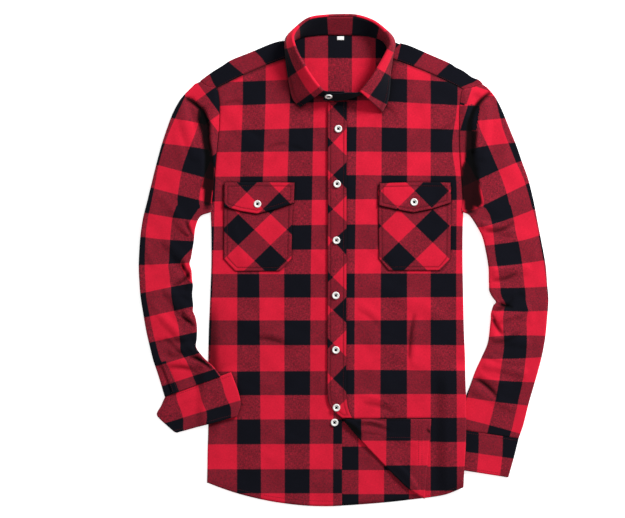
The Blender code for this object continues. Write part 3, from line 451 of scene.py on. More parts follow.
# Up and down: the pixel of each line near the side and near the middle of each front.
RIGHT_LINES_DOWN = table("line side middle", [
    (-1, 33, 30), (0, 57, 54.5), (1, 81.5, 79), (2, 105, 102.5), (3, 130, 128), (4, 152, 151.5),
    (5, 176.5, 176), (6, 201, 200), (7, 226, 225), (8, 250, 249.5), (9, 274, 274),
    (10, 297.5, 297.5), (11, 320.3, 320.3), (12, 345, 345), (13, 371.3, 371), (14, 395, 395),
    (15, 419.2, 419.2), (16, 444, 443.7), (17, 469, 469), (18, 493, 493), (19, 517, 517)])
LEFT_LINES_DOWN = table("line side middle", [
    (-1, 34, 31), (0, 58, 55), (1, 82, 79), (2, 105, 102), (3, 129.5, 128), (4, 152.5, 152),
    (5, 176, 175.5), (6, 200, 199.5), (7, 226, 225), (8, 250, 249.5), (9, 273.5, 273.5),
    (10, 297, 297.5), (11, 319.8, 320.2), (12, 345, 344.6), (13, 370.4, 370), (14, 393.8, 394),
    (15, 417.2, 418), (16, 441.4, 442), (17, 466, 467), (18, 490, 491), (19, 514, 515)])
BACK_LINES_ACROSS = table("line chest waist hem", [
    (-1, 280, 285, 285), (0, 305, 309.5, 309.5), (1, 328, 334, 334), (2, 352, 358.5, 358.5),
    (3, 375.5, 384, 384), (4, 400, 409, 409), (5, 424, 433, 433)])
BACK_LINES_DOWN = table("line side middle", [
    (1, 35, 35), (2, 58, 58), (3, 97, 97), (4, 121, 121), (5, 145, 145), (17, 446.5, 446.5),
    (18, 470, 470), (19, 494, 494), (20, 518, 518)])
CORNER_LINES_ACROSS = table("line chest waist hem", [
    (-1, 337, 337, 337), (0, 361.5, 361.5, 361), (1, 387, 387, 386), (2, 412, 412, 410),
    (3, 436, 436, 434)])
CORNER_LINES_DOWN = table("line side middle", [
    (1, 417.5, 417.5), (2, 440.3, 440.3), (3, 465, 465), (4, 489.5, 489.5), (5, 514, 514)])
# The lines of each panel, and the pixel columns of its side and of its middle.
PANEL_LINES = {
    "right": (RIGHT_LINES_ACROSS, RIGHT_LINES_DOWN, (250, 315)),
    "left": (LEFT_LINES_ACROSS, LEFT_LINES_DOWN, (450, 396)),
    "back": (BACK_LINES_ACROSS, BACK_LINES_DOWN, (0, 1000)),
    "corner": (CORNER_LINES_ACROSS, CORNER_LINES_DOWN, (0, 1000))}
# Beside the left armhole the cloth bulges and carries its lines inwards: over which pixel
# columns, round which row, how far from it, and by how many lines.
ARMHOLE_BULGE = ((436, 458), 145, 24, 0.23)
SPARE_LINES = 20              # each of these tables goes on by so many lines at both of its ends
# On the bias: the pixel of a point of the grid where bright squares lie right and left, or
# above and below, and the pixels from a point of the grid to the next one across and down.
POCKET_BIAS = {"right": (254.5, 229.7, 32.2, 31.0), "left": (381.5, 226, 34, 33)}
FLAP_BIAS = {"right": (230.7, 209, 32.5, 32.5), "left": (380.5, 191, 34, 34)}
PLACKET_BIAS_X = 333
PLACKET_BIAS = table("line y", [
    (-1, 107), (0, 143), (1, 175.2), (2, 209.4), (3, 240.5), (4, 277.2), (5, 310),
    (6, 342.8), (7, 378.3), (8, 412), (9, 446)])
# The yoke: the pixel of each line along the shoulder's fold and along the front seam.
YOKE_LINES_RIGHT = table("line fold seam", [
    (-1, 186, 190), (0, 210, 217), (1, 229, 244), (2, 255, 266.5), (3, 284, 290)])
YOKE_LINES_LEFT = table("line fold seam", [
    (-1, 384, 376), (0, 401, 397), (1, 424, 413), (2, 449, 436), (3, 477, 460), (4, 500, 486)])
YOKE_LINES = {"right": YOKE_LINES_RIGHT, "left": YOKE_LINES_LEFT}
YOKE_ROW = (1.15, 1.85)       # the line numbers at the yoke's fold and at its front seam
# The sleeves: at each row of their tables, the shares of the way in from the outer edge of
# lines 0, 1 and 2, and the numbers of the lines across at the outer and at the inner edge.
SLEEVE_PLAID = "a b c outer inner"
RIGHT_SLEEVE_PLAID = table(SLEEVE_PLAID, [
    (-0.3, 0.3, 1.2, -1.9, -2.2), (-0.2, 0.5, 1.2, -1.5, -1.9), (-0.05, 0.6, 1.25, -1.15, -1.6),
    (0.05, 0.6, 1.2, -0.75, -1.2), (0.07, 0.6, 1.15, -0.25, -0.7), (0.04, 0.57, 1.08, 0.37, 0.02),
    (0.02, 0.51, 1.0, 1.02, 0.83), (0.01, 0.44, 0.87, 1.87, 1.5), (0.03, 0.43, 0.79, 2.77, 2.4),
    (0.04, 0.45, 0.8, 3.6, 3.35), (0.06, 0.52, 0.9, 4.2, 3.75), (0.07, 0.56, 0.9, 4.88, 4.35),
    (0.08, 0.57, 1.1, 5.45, 5.07), (0.09, 0.59, 0.85, 6.03, 5.85), (0.09, 0.59, 0.9, 6.6, 6.6),
    (0.08, 0.6, 1.1, 7.15, 7.3), (0.09, 0.63, 1.06, 7.82, 8.05), (0.1, 0.65, 1.06, 8.54, 8.7),
    (0.11, 0.66, 1.06, 9.2, 9.25), (0.13, 0.67, 1.02, 9.75, 9.65), (0.17, 0.66, 1.04, 10.2, 10.3),
    (0.17, 0.6, 1.02, 10.85, 10.85), (0.16, 0.57, 1.0, 11.45, 11.4)])
LEFT_SLEEVE_PLAID = table(SLEEVE_PLAID, [
    (-0.3, 0.5, 1.4, -1.5, -2.0), (-0.2, 0.7, 1.4, -1.25, -1.65), (-0.05, 0.75, 1.4, -0.9, -1.3),
    (0.05, 0.7, 1.3, -0.45, -0.93), (0.09, 0.64, 1.18, 0.03, -0.48), (0.11, 0.59, 1.1, 0.5, 0.18),
    (0.1, 0.49, 1.02, 1.15, 0.85), (0.07, 0.41, 0.84, 2.05, 1.3), (0.04, 0.36, 0.72, 2.85, 2.1),
    (0.02, 0.32, 0.68, 3.75, 2.85), (0.0, 0.34, 0.7, 4.4, 3.3), (0.0, 0.38, 0.76, 5.0, 3.87),
    (0.0, 0.39, 0.83, 5.62, 4.59), (0.0, 0.4, 0.87, 6.27, 5.33), (-0.01, 0.4, 0.86, 6.88, 6.09),
    (-0.02, 0.38, 0.83, 7.53, 6.87), (-0.02, 0.37, 0.82, 8.27, 7.67),
    (-0.03, 0.33, 0.79, 9.05, 8.5), (-0.05, 0.28, 0.72, 9.88, 9.23),
    (-0.06, 0.23, 0.66, 10.5, 9.9), (-0.06, 0.18, 0.59, 11.2, 10.65),
    (-0.05, 0.16, 0.54, 11.97, 11.65), (-0.04, 0.14, 0.5, 12.65, 12.75),
    (-0.03, 0.12, 0.46, 13.2, 13.7)])
PAST_LAST_LINE = 0.8          # beyond line 2 the numbers rise at this share of the rate before
ROUND_EDGE = 0.2              # how much of a line lies round the edge of a sleeve or cuff
RIGHT_CUFF_PLAID = table(SLEEVE_PLAID, [
    (0.165, 0.51, 0.84, 12.05, 12.05), (0.23, 0.54, 0.85, 12.45, 12.4),
    (0.29, 0.57, 0.855, 12.7, 12.75), (0.24, 0.56, 0.88, 13.05, 13.15),
    (0.13, 0.51, 0.92, 13.75, 13.6)])
LEFT_CUFF_PLAID = table(SLEEVE_PLAID, [
    (0.226, 0.59, 0.95, 13.05, 13.05), (0.17, 0.55, 0.93, 13.95, 13.95),
    (0.13, 0.53, 0.93, 14.85, 14.85)])
# The gap beside each armhole that no light reaches, painted dark as shade: the pixels of its
# outline.
ARMHOLE_GAPS = {
    "right": [(199, 110), (204, 114), (210, 124), (208, 132), (211, 148), (213.5, 165),
              (214.5, 190), (207, 192), (202.5, 187), (205, 176), (206.5, 160), (204, 146),
              (202, 132), (198.5, 120)],
    "left": [(469, 130), (476, 132), (475, 148), (471.5, 157), (473, 168), (478, 178),
             (479, 192), (481, 203), (478, 207), (470, 203), (461, 198), (462, 168),
             (467, 158), (468, 144)]}
GAP_SOFTNESS = 2.2            # how far that painted shade reaches beyond it, in millimetres
# The cap of each sleeve lies turned against the rest of it, from the shoulder to a deep crease:
# pixel rows and columns of the crease, which side of it the cap is, the direction of the first
# set of lines, how far along its direction, in pixels, each line of each set lies, and by how
# many lines the second set turns away.
CREASE_COLUMNS_PX = "row column"
CAPS = {
    "right": {
        "crease": table(CREASE_COLUMNS_PX, [
            (96, 184), (99, 193), (107, 199.5), (123, 203), (137, 205.5), (159, 211),
            (170, 214)]),
        "way": 1, "direction": (0.59, 0.81), "turn": 0.75,
        "first": table("line pixel", [(0, 178.5), (1, 198), (2, 222), (3, 252)]),
        "second": table("line pixel", [(-1, 75), (0, 99), (1, 111), (2, 123)])},
    "left": {
        "crease": table(CREASE_COLUMNS_PX, [(90, 494), (94, 491), (99, 484), (105, 476)]),
        "way": -1, "direction": (0.95, 0.316), "turn": 0.0,
        "first": table("line pixel", [(-1, 455.9), (0, 475.9), (1, 495.9)]),
        "second": table("line pixel", [(-1, 28), (0, 48), (1, 68)])}}
# Below the left cap the lines run aslant, as far as the deep crease: the pixel of line 1, the
# lean, and the pixels from one line to the next across and down.
LEFT_SLANT = {"crease": table(CREASE_COLUMNS_PX, [(105, 480), (131, 476)]),
              "line_at": (467.5, 106), "lean": 0.3, "gaps": (22, 25)}
# Beside the left armhole the sleeve's cloth carries on the front's rows as far as its crease.
LEFT_STRIP = table(CREASE_COLUMNS_PX, [
    (131, 470), (154, 466.7), (170, 464), (185, 462), (206, 459)])
# The collar stand: the share of its length, from its lower end to the upper one, of each line.
STAND_LINES = table("line share", [
    (1, 0.0), (2, 0.24), (3, 0.344), (4, 0.444), (5, 0.527), (6, 0.615), (7, 0.8), (8, 1.05)])
STAND_ROW = (1.1, 1.9)        # the line numbers at the stand's foot and at its top
# The leaf: the row of the collar's table at which each line crosses it, and, at its right end
# and at its left one, how far from the turn the line along it runs.
LEAF_LINES = table("line row", [
    (2, 0.5), (3, 2.65), (4, 4.7), (5, 6.9), (6, 8.0), (7, 9.3), (8, 11.0), (9, 13.6), (10, 15.5),
    (11, 17.3), (12, 19.77), (13, 22.5)])
LEAF_LINE_ALONG = (22.0, 18.5)
LEAF_SLANT = 0.009            # how far the lines across lean towards its left end, in rows a mm
UNDER_LAP_SAG = 0.35          # how much lower the hidden lap of the stand is than the other
LEAF_STEPS = 10               # sections from one row of the collar's table to the next
HALF_PERIOD = 38.7            # from one line of the plaid to the next

FINE = 2.6                    # length of a facet on what shows
COARSE = 4.2                  # the same on the back
FOLD_FACETS = 8               # facets round a folded edge
THREADS = 84                  # yarns from one line of the plaid to the next
SEWN_FINE = 1.6               # length of a facet on the pieces that are sewn on
NECK_REACH = 1.6              # how far the yoke reaches under the foot of the collar stand
CUFF_OVERLAP = 1.6            # of a cuff over its sleeve's end
SEWN = 0.1                    # between two pieces sewn together, so that no light gets through
SEAM_SLOPE = 0.14             # the share of a sleeve's width over which it rises from its seam
TUBE_ROOM = 0.2               # air left between the two layers of a sleeve or cuff
CORNER_PUFF = 0.6             # the turned corner lies this much higher than it would pressed flat
PUFF_REACH = 14               # a patch is full this far inside its stitches
WELD = 0.05                   # points of two patches nearer than this are one
TOO_SMALL = 0.02              # edges shorter than this are taken out

# A sewn edge: how deep it lies, how high its puckers are, and how far each of the two reaches
SEAM = {"depth": 0.5, "reach": 2.2, "pucker": 0.18, "pucker_reach": 7}
STITCH = {"pitch": 3.1, "length": 2.4, "half_width": 0.26, "height": 0.22, "lift": 0.04}
STRAND_SECTIONS = ((0.0, 0.25), (0.25, 0.9), (0.5, 1.0), (0.75, 0.9), (1.0, 0.25))
POCKET_INSET = 5.6            # from the edge of a pocket or flap to its stitches
PLACKET_INSET = 4.6           # the same on the placket
LEAF_INSET = 6.0              # the same on the collar leaf
HEM_STITCHES_END = {"right": -2, "left": -8}     # the column of points where they stop
CORNER_STITCHES = [
    ((130.4, 134), (130.4, 26)), ((135.6, 134), (135.6, 26)), ((38, 111), (126, 110))]

# A button: the radius and height of each ring of its form, its holes, and the form of their dark
# plugs; then the half width and height of the thread's stitches.
BUTTON_SECTION = [(0, 0.0), (4.9, 0.0), (5.6, 0.3), (5.95, 0.9), (5.95, 1.4), (5.7, 1.9),
                  (5.2, 2.2), (4.7, 2.3), (4.1, 2.15), (3.6, 1.7), (3.1, 1.35), (2.4, 1.2),
                  (0, 1.15)]
BUTTON_FACETS = 40
BUTTON_MIDDLE = 1.1           # height of the middle of its CAD solid
HOLES = [(-1.2, -1.2), (1.2, -1.2), (1.2, 1.2), (-1.2, 1.2)]
HOLE_SECTION = [(0, 1.16), (1.15, 1.2), (1.15, 1.27), (0, 1.3)]
BUTTON_STRAND = (1.1, 0.45)

# Painted shade of the cloth, from 0 to 1: the strength and the reach beside each edge
FULL_SHADE_DEPTH = 2.4             # depth of a crease that no light gets into: there the painted shade is full
SHADOWS = {
    "seam": (0.75, 1.6), "yoke seam": (0.6, 1.6), "pocket": (0.5, 2.2), "flap": (0.6, 2.2),
    "under flap": (0.9, 3.0), "collar": (0.3, 12.0), "collar edge": (0.45, 3.5),
    "placket": (0.35, 2.0), "corner's end": (0.9, 2.4), "corner's fold": (0.85, 8.5),
    "left neck": (0.5, 9.0), "right neck": (0.5, 7.0), "cuff": (0.45, 4.5),
    "sleeve": (0.38, 20.0)}
CORNER_FOLD_SHADE = 0.45      # painted shade all round the fold of the turned corner
# Where the body's edge sinks between the sleeve and the cuff that lies on it: shade is painted
# beside this line.
SLEEVE_SHADE = [(-206, 300), (-204, 260), (-194, 216)]

# The flannel. A noise is its scale, its detail and, where it has one, its strength
LINE_SOFTNESS = 0.07          # of the change from red to dark yarns
LINE_WOBBLE = 0.05            # how far, in lines, the nap moves that change
NAP = (900, 1)
YARNS = (34, 9)               # the noise of the yarns across them and along them
YARN_CONTRAST = 0.5
TWILL_CONTRAST = 0.16
YARN_TONE = 0.3
PATCHES = (60, 3, 0.14)
FLECKS = (1400, 1, 0.12)
TONES = (34, 4, 0.4)
NAVY_BLACK = (0.0035, 0.0038, 0.0075, 1)
MAROON = (0.178, 0.0125, 0.024, 1)
RED = (0.63, 0.0115, 0.036, 1)
PAINTED_SHADE_COLOUR = (0.025, 0.03, 0.04, 1)  # painted shade: what is left of the colour at the bottom of a deep crease

# The picture and its light
PICTURE_MIDDLE = (312.5, 259)
PICTURE_WIDTH = 625
FLOOR_GLOW = 0.6
ROOM_LIGHT = 0.5
KEY = {"spot": (1.6, 1.7, 1.35), "size": 0.8, "watts": 92}


# Places and curves

def at(px, py):
    """A pixel of the photograph in the shirt's millimetres."""
    return (np.asarray(px, float) - PX_ORIGIN[0]) * PX, (PX_ORIGIN[1] - np.asarray(py, float)) * PX


def pixel(plan):
    return plan[..., 0] / PX + PX_ORIGIN[0], PX_ORIGIN[1] - plan[..., 1] / PX


def distance_along(curve):
    """How far along a curve, or along each row of a net, every point lies."""
    gaps = np.linalg.norm(np.diff(curve, axis=-2), axis=-1)
    return np.concatenate([np.zeros(gaps.shape[:-1] + (1,)), np.cumsum(gaps, axis=-1)], axis=-1)


def length_shares(curve):
    """How far along the curve each of its points is, from 0 to 1."""
    run = distance_along(curve)
    return run / run[-1]


def spline(curve, counts, breaks=()):
    """A curve through all the given points, with counts[i] facets from point i to the next."""
    curve = np.asarray(curve, float)
    out = []
    stops = [0, *breaks, len(curve) - 1]
    for first, last in zip(stops, stops[1:]):
        part = curve[first:last + 1]
        padded = np.concatenate([[2 * part[0] - part[1]], part, [2 * part[-1] - part[-2]]])
        for i in range(len(part) - 1):
            a, b, c, d = padded[i:i + 4]
            n = counts[first + i]
            t = (np.arange(n) / n).reshape((n,) + (1,) * (curve.ndim - 1))
            out.append(b + 0.5 * t * (c - a + t * (2 * a - 5 * b + 4 * c - d
                                                   + t * (3 * (b - c) + d - a))))
    return np.concatenate(out + [curve[-1:]])


def smooth(curve, steps):
    return spline(curve, [steps] * (len(curve) - 1))


def linear(curve, counts):
    """A polyline with counts[i] facets from point i to the next."""
    where = np.concatenate([[0], np.cumsum(counts)])
    steps = np.arange(where[-1] + 1)
    return np.column_stack([np.interp(steps, where, curve[:, axis]) for axis in (0, 1)])


def counts_for(curve, spacing):
    gaps = np.linalg.norm(np.diff(np.asarray(curve, float), axis=0), axis=-1)
    return [max(1, int(math.ceil(gap / spacing))) for gap in gaps]


def refine(net, row_counts, column_counts, breaks=()):
    """A net of control points made fine, along its columns and then along its rows."""
    fine = spline(net, row_counts, breaks)
    return np.swapaxes(spline(np.swapaxes(fine, 0, 1), column_counts), 0, 1)


def along(start, end, shares):
    """Points of a straight line at the given shares of its length."""
    start, end = np.asarray(start, float), np.asarray(end, float)
    return start + np.asarray(shares)[:, None] * (end - start)


def ruled(start, end, shares):
    """A net of straight rows, each from a point of one curve to that of another."""
    return start[:, None] + np.asarray(shares)[None, :, None] * (end - start)[:, None]


def patch(bottom, top, start, end):
    """Points of a Coons patch: rows run from bottom to top, columns from start to end."""
    v = np.linspace(0, 1, len(start))[:, None, None]
    u = length_shares(bottom)[None, :, None]
    across = (1 - u) * start[:, None] + u * end[:, None]
    upward = (1 - v) * bottom[None] + v * top[None]
    corners = ((1 - v) * ((1 - u) * bottom[0] + u * bottom[-1])
               + v * ((1 - u) * top[0] + u * top[-1]))
    return across + upward - corners


def ramp(x, low, high):
    t = np.clip((np.asarray(x, float) - low) / (high - low), 0, 1)
    return t * t * (3 - 2 * t)


def bell(away, reach):
    """1 at no distance, and next to nothing at twice the reach."""
    return np.exp(-(away / reach) ** 2)


def loop_of(outline):
    return np.vstack([outline, outline[:1]])


def outward_of(curve, away_from):
    """Unit normals of a curve in plan, all on the one side that faces away from a point."""
    run = np.gradient(np.asarray(curve, float), axis=0)
    normal = np.column_stack([run[:, 1], -run[:, 0]])
    normal /= np.linalg.norm(normal, axis=1)[:, None]
    return normal * np.sign(np.sum(normal * (curve - np.asarray(away_from, float))))


def edge_distance(plan, edge):
    """How far each point of a plan is from a curve."""
    flat = plan.reshape(-1, 2)
    best = np.full(len(flat), np.inf)
    for a, b in zip(edge, edge[1:]):
        run = b - a
        share = np.clip((flat - a) @ run / max(run @ run, 1e-9), 0, 1)
        best = np.minimum(best, np.linalg.norm(flat - a - share[:, None] * run, axis=1))
    return best.reshape(plan.shape[:-1])


def beside(plan, edge, strength, reach):
    """Painted shade beside an edge: from its strength down to 0 over the points of a plan."""
    return strength * bell(edge_distance(plan, edge), reach)


def within(plan, outline, softness):
    """1 inside an outline, fading to 0 over some way outside it."""
    x, y = plan[..., 0], plan[..., 1]
    inside = np.zeros(x.shape, bool)
    loop = loop_of(outline)
    for (x0, y0), (x1, y1) in zip(loop, loop[1:]):
        if y0 != y1:
            crossed = x < x0 + (y - y0) * (x1 - x0) / (y1 - y0)
            inside ^= ((y0 > y) != (y1 > y)) & crossed
    return np.where(inside, 1.0, beside(plan, loop, 1.0, softness))


# Heights

def crease_height(plan, creases):
    """How high the large creases raise the points of a plan."""
    height = np.zeros(plan.shape[:-1])
    for x0, y0, x1, y1, half_width, rise in zip(*creases.values()):
        start, run = np.array([x0, y0]), np.array([x1 - x0, y1 - y0])
        share = np.clip((plan - start) @ run / (run @ run), 0, 1)
        away = np.linalg.norm(plan - start - share[..., None] * run, axis=-1) / half_width
        height += rise * np.clip(1 - away ** 2, 0, 1) ** 2
    return height


def fold_height(plan, folds):
    """How high the fine creases raise the points of a plan."""
    height = np.zeros(plan.shape[:-1])
    for x0, y0, x1, y1, bow, left, right, rise in zip(*folds.values()):
        start, run = np.array([x0, y0]), np.array([x1 - x0, y1 - y0])
        length = np.linalg.norm(run)
        share = np.clip((plan - start) @ run / length ** 2, 0, 1)
        fade = 4 * share * (1 - share)
        side = (plan - start) @ (np.array([-run[1], run[0]]) / length) - bow * fade
        width = np.where(side > 0, left, right)
        height += rise * np.sqrt(fade) * np.clip(1 - (side / width) ** 2, 0, 1) ** 2
    return height


def painted_crease_shade(plan, folds, extra=0.0):
    """Painted shade of each point, from 0 to 1: how deep it lies in the fine creases, where little
    light gets in, with any extra painted shade added.
    """
    return np.clip(-fold_height(plan, folds) / FULL_SHADE_DEPTH + extra, 0, 1)


def ripple(plan, size=0.42):
    """The soft unevenness of cloth that lies on a table: uneven waves, 40 to 180 mm long."""
    x, y = plan[..., 0], plan[..., 1]
    waves = (np.sin(x / 13 + 1.9 * np.sin(y / 37)) * np.sin(y / 17 + 1.1 * np.sin(x / 29 + 2))
             + 0.6 * np.sin(x / 7.3 + y / 11 + 2.2 * np.sin(y / 41 + 1)))
    return size * waves / 1.6


def body_lift(plan, spare=0.0):
    """The left sleeve's end lies under the body's side and lifts it, and as much round it."""
    x0, x1, low0, low1, high0, high1, height = (column[0] for column in BODY_LIFT.values())
    x, y = plan[..., 0] + spare, plan[..., 1]
    upward = ramp(y + spare, low0, low1) * (1 - ramp(y - spare, high0, high1))
    return height * ramp(x, x0, x1) * upward


def arm_lift(plan):
    """The right sleeve's end lies on the body's side."""
    x0, x1, y0, y1, height = (column[0] for column in RIGHT_ARM_LIFT.values())
    return height * ramp(plan[..., 0], x0, x1) * (1 - ramp(plan[..., 1], y0, y1))


def no_lift(plan):
    return np.zeros(plan.shape[:-1])


def front_height(plan, lap=0.0):
    """Middle of a front panel: over the back, over the other front, and over the sleeve."""
    shown = crease_height(plan, BODY_CREASES) + fold_height(plan, BODY_FOLDS) + ripple(plan)
    lifted = (1 + FRONT_EXTRA_LIFT) * body_lift(plan, FRONT_LIFT_SPARE)
    return FRONT_Z + LAP_STEP * lap + shown + lifted


def back_height(plan):
    return BACK_Z + body_lift(plan)


def lap_share(plan):
    """1 where the left front lies on the right one, 0 clear of it."""
    return 1 - ramp(plan[..., 0], *LAP_RAMP)


def with_height(plan, z):
    return np.dstack([plan, np.broadcast_to(z, plan.shape[:2])])


def turned_edge(edge, outward, radius, z_from, z_to):
    """A row of points round a folded edge for each edge point, from one height to another."""
    angles = np.linspace(0, math.pi, FOLD_FACETS + 1)
    middle, half = (np.broadcast_to(z, len(edge))[:, None]
                    for z in ((z_from + z_to) / 2, (z_from - z_to) / 2))
    reach = np.broadcast_to(radius, len(edge))[:, None] * np.sin(angles)
    plan = edge[:, None] + outward[:, None] * reach[..., None]
    return np.dstack([plan, middle + half * np.cos(angles)])


def seam_dip(plan, edge):
    """Cloth beside a sewn edge: pressed down at it, and faintly puckered."""
    away = edge_distance(plan, edge)
    run = plan[..., 0] + plan[..., 1]
    waves = SEAM["pucker"] * np.sin(run / 1.7 + 2 * np.sin(run / 9))
    dip = SEAM["depth"] * bell(away, SEAM["reach"])
    return waves * bell(away, SEAM["pucker_reach"]) * ramp(away, 0, 2) - dip


def edge_loop(plan):
    return np.vstack([plan[0], plan[1:, -1], plan[-1, ::-1][1:], plan[::-1, 0][1:]])


def pressed(plan, puff, inset):
    """A patch sewn down round its edge: low at the edge, full inside the stitching."""
    away = edge_distance(plan, edge_loop(plan))
    groove = -0.35 * bell(away - inset, 1.3)
    return puff * ramp(away, inset, inset + PUFF_REACH) + groove - 0.25 * bell(away, 1.5)


def stitch_groove_shade(plan, inset):
    """Painted shade of the groove that stitching presses into the cloth inside a piece's edge, and
    along the edge itself.
    """
    away = edge_distance(plan, edge_loop(plan))
    return 0.45 * bell(away - inset, 1.1) + 0.35 * bell(away, 1.2)


# Where the plaid's lines run

def line_at(places, lines, column):
    """The number, with its fraction, of the line of a table that passes through each place.
    The table goes on beyond both of its ends at the same spacing."""
    order = np.argsort(lines[column])
    v, k = lines[column][order], lines["line"][order]
    first, last = (v[1] - v[0]) / (k[1] - k[0]), (v[-1] - v[-2]) / (k[-1] - k[-2])
    return np.interp(
        places, [v[0] - SPARE_LINES * abs(first), *v, v[-1] + SPARE_LINES * abs(last)],
        [k[0] - SPARE_LINES * np.sign(first), *k, k[-1] + SPARE_LINES * np.sign(last)])


def between(lines, low_name, high_name, share, places):
    """The same between two columns of a table, a share of the way from one to the other."""
    low = line_at(places, lines, low_name)
    return low + share * (line_at(places, lines, high_name) - low)


def panel_plaid(plan, panel):
    across, down, (side, middle) = PANEL_LINES[panel]
    px, py = pixel(plan)
    level = np.interp(py, LEVELS, [0, 1, 2])
    u = np.where(level < 1, between(across, "chest", "waist", level, px),
                 between(across, "waist", "hem", level - 1, px))
    inward = np.clip((px - side) / (middle - side), -1, 1.5)
    v = between(down, "side", "middle", inward, py)
    if panel == "left":
        columns, row, reach, shift = ARMHOLE_BULGE
        u += shift * ramp(px, *columns) * bell(py - row, reach)
    return np.dstack([u, v])


def bias_plaid(right, below):
    return np.dstack([right + below, right - below])


def patch_plaid(plan, x, y, across, down):
    px, py = pixel(plan)
    return bias_plaid((px - x) / across, (py - y) / down)


def placket_plaid(plan):
    px, py = pixel(plan)
    right = (px - PLACKET_BIAS_X) / np.mean(np.diff(PLACKET_BIAS["y"]))
    return bias_plaid(right, line_at(py, PLACKET_BIAS, "y"))


def yoke_plaid(plan, side, fold, seam):
    """Along the shoulder by the lines; across it the cloth shows one dark row."""
    from_fold, from_seam = edge_distance(plan, fold), edge_distance(plan, seam)
    share = from_fold / np.maximum(from_fold + from_seam, 0.01)
    u = between(YOKE_LINES[side], "fold", "seam", share, pixel(plan)[0]) + 1
    return np.dstack([u, YOKE_ROW[0] + (YOKE_ROW[1] - YOKE_ROW[0]) * share])


def sleeve_plaid(rows, counts, shares):
    """The numbers of the lines at each section of a sleeve and each share of its width."""
    a, b, c, outer, inner = (column[:, None] for column in spline(rows, counts).T)
    s = 1 - np.asarray(shares)[None, :]
    u = np.where(s < b, 1 + (s - b) / (b - a), 1 + (s - b) / (c - b))
    u = np.where(u > 2, 2 + PAST_LAST_LINE * (u - 2), u)
    return np.dstack([u, outer + s * (inner - outer)])


def carried_on(plaid, steps):
    """The plaid of an edge carried on round it by the given steps across."""
    return np.dstack([plaid[..., 0] + steps, np.repeat(plaid[..., 1], steps.shape[1], axis=1)])


# Objects

LABEL_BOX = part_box("label")
LABEL_HEIGHT = BACK_Z + (WALL + LABEL_WALL) / 2 + GAP
SHIFT = (np.array(LABEL_BOX[0]) + np.array(LABEL_BOX[1])) / 2 / MM - [
    LABEL["x"], LABEL["y"], LABEL_HEIGHT]
STITCHES = {}                 # rows of stitches by the piece they are sewn through


def world(spots):
    """Millimetres of the shirt's tables as metres of the scene."""
    return (np.asarray(spots, float) + SHIFT) * MM


def corners_of(net):
    """The four corners of every facet of a net."""
    return np.stack([net[:-1, :-1], net[:-1, 1:], net[1:, 1:], net[1:, :-1]], axis=2)


def new_piece(name, mesh, shade, nodes):
    piece = bpy.data.objects.new(name, mesh)
    bpy.context.scene.collection.objects.link(piece)
    mesh.materials.append(shade)
    mesh.shade_smooth()
    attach(piece, "root")
    if nodes:
        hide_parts(*nodes)
    return piece


def built_piece(bm, name, shade, nodes=()):
    mesh = bpy.data.meshes.new(name)
    bm.to_mesh(mesh)
    bm.free()
    return new_piece(name, mesh, shade, nodes)


def cloth(name, patches, shade, wall=WALL, stands_for=None):
    """One piece of cloth: patches of points, of plaid lines and, where given, of the shade painted
    on them, welded where they meet, then thickened."""
    spots, faces, cloth_uv, painted_shade = [], [], [], []
    count = 0
    for net, plaid, *deep in patches:
        index = count + np.arange(net.shape[0] * net.shape[1]).reshape(net.shape[:2])
        painted_shade.append(np.broadcast_to(deep[0] if deep else 0.0, net.shape[:2]).ravel())
        spots.append(world(net).reshape(-1, 3))
        faces.append(corners_of(index).reshape(-1, 4))
        cloth_uv.append((corners_of(plaid) if plaid.ndim == 3 else plaid).reshape(-1, 2))
        count += index.size
    mesh = bpy.data.meshes.new(name + "_cloth")
    mesh.from_pydata(np.concatenate(spots).tolist(), [], np.concatenate(faces).tolist())
    layer = mesh.uv_layers.new(name="cloth")
    layer.uv.foreach_set("vector", np.concatenate(cloth_uv).astype(np.float32).ravel())
    # The painted shade of each point, for the material to darken the colour with.
    depth = mesh.attributes.new("painted_shade", "FLOAT", "POINT")
    depth.data.foreach_set("value", np.concatenate(painted_shade).astype(np.float32))
    bm = bmesh.new()
    bm.from_mesh(mesh)
    bmesh.ops.remove_doubles(bm, verts=bm.verts, dist=WELD * MM)
    bmesh.ops.dissolve_degenerate(bm, edges=bm.edges, dist=TOO_SMALL * MM)
    bmesh.ops.recalc_face_normals(bm, faces=bm.faces)
    bm.to_mesh(mesh)
    bm.free()
    piece = new_piece(name + "_cloth", mesh, shade, [stands_for or name])
    solid = piece.modifiers.new("wall", "SOLIDIFY")
    solid.thickness = wall * MM
    solid.offset = 0.0
    solid.use_quality_normals = True
    return piece


def keep_crisp(piece, row):
    """The cut edge along a row of points stays crisp: no line shows where two pieces join."""
    mesh = piece.data
    spots = np.empty(len(mesh.vertices) * 3, np.float32)
    mesh.vertices.foreach_get("co", spots)
    on_row = np.zeros(len(mesh.vertices), bool)
    for spot in world(row):
        on_row |= np.linalg.norm(spots.reshape(-1, 3) - spot, axis=1) < WELD * MM
    ends = np.empty(len(mesh.edges) * 2, np.int32)
    mesh.edges.foreach_get("vertices", ends)
    crisp = on_row[ends.reshape(-1, 2)].all(axis=1)
    mesh.attributes.new("sharp_edge", "BOOLEAN", "EDGE").data.foreach_set("value", crisp)
    return piece


# Materials

def node(tree, kind, **settings):
    made = tree.nodes.new("ShaderNode" + kind)
    for name, value in settings.items():
        setattr(made, name, value)
    return made


class Level:
    """A number that varies over the surface: a node's output, or what is worked out of some."""

    def __init__(self, tree, socket):
        self.tree, self.socket = tree, socket

    def maths(self, operation, other=None, clamp=False):
        made = node(self.tree, "Math", operation=operation, use_clamp=clamp)
        self.into(made.inputs[0])
        if isinstance(other, Level):
            other.into(made.inputs[1])
        elif other is not None:
            made.inputs[1].default_value = other
        return Level(self.tree, made.outputs[0])

    def into(self, socket):
        self.tree.links.new(self.socket, socket)

    def __add__(self, other):
        return self.maths("ADD", other)

    def __sub__(self, other):
        return self.maths("SUBTRACT", other)

    def __mul__(self, other):
        return self.maths("MULTIPLY", other)


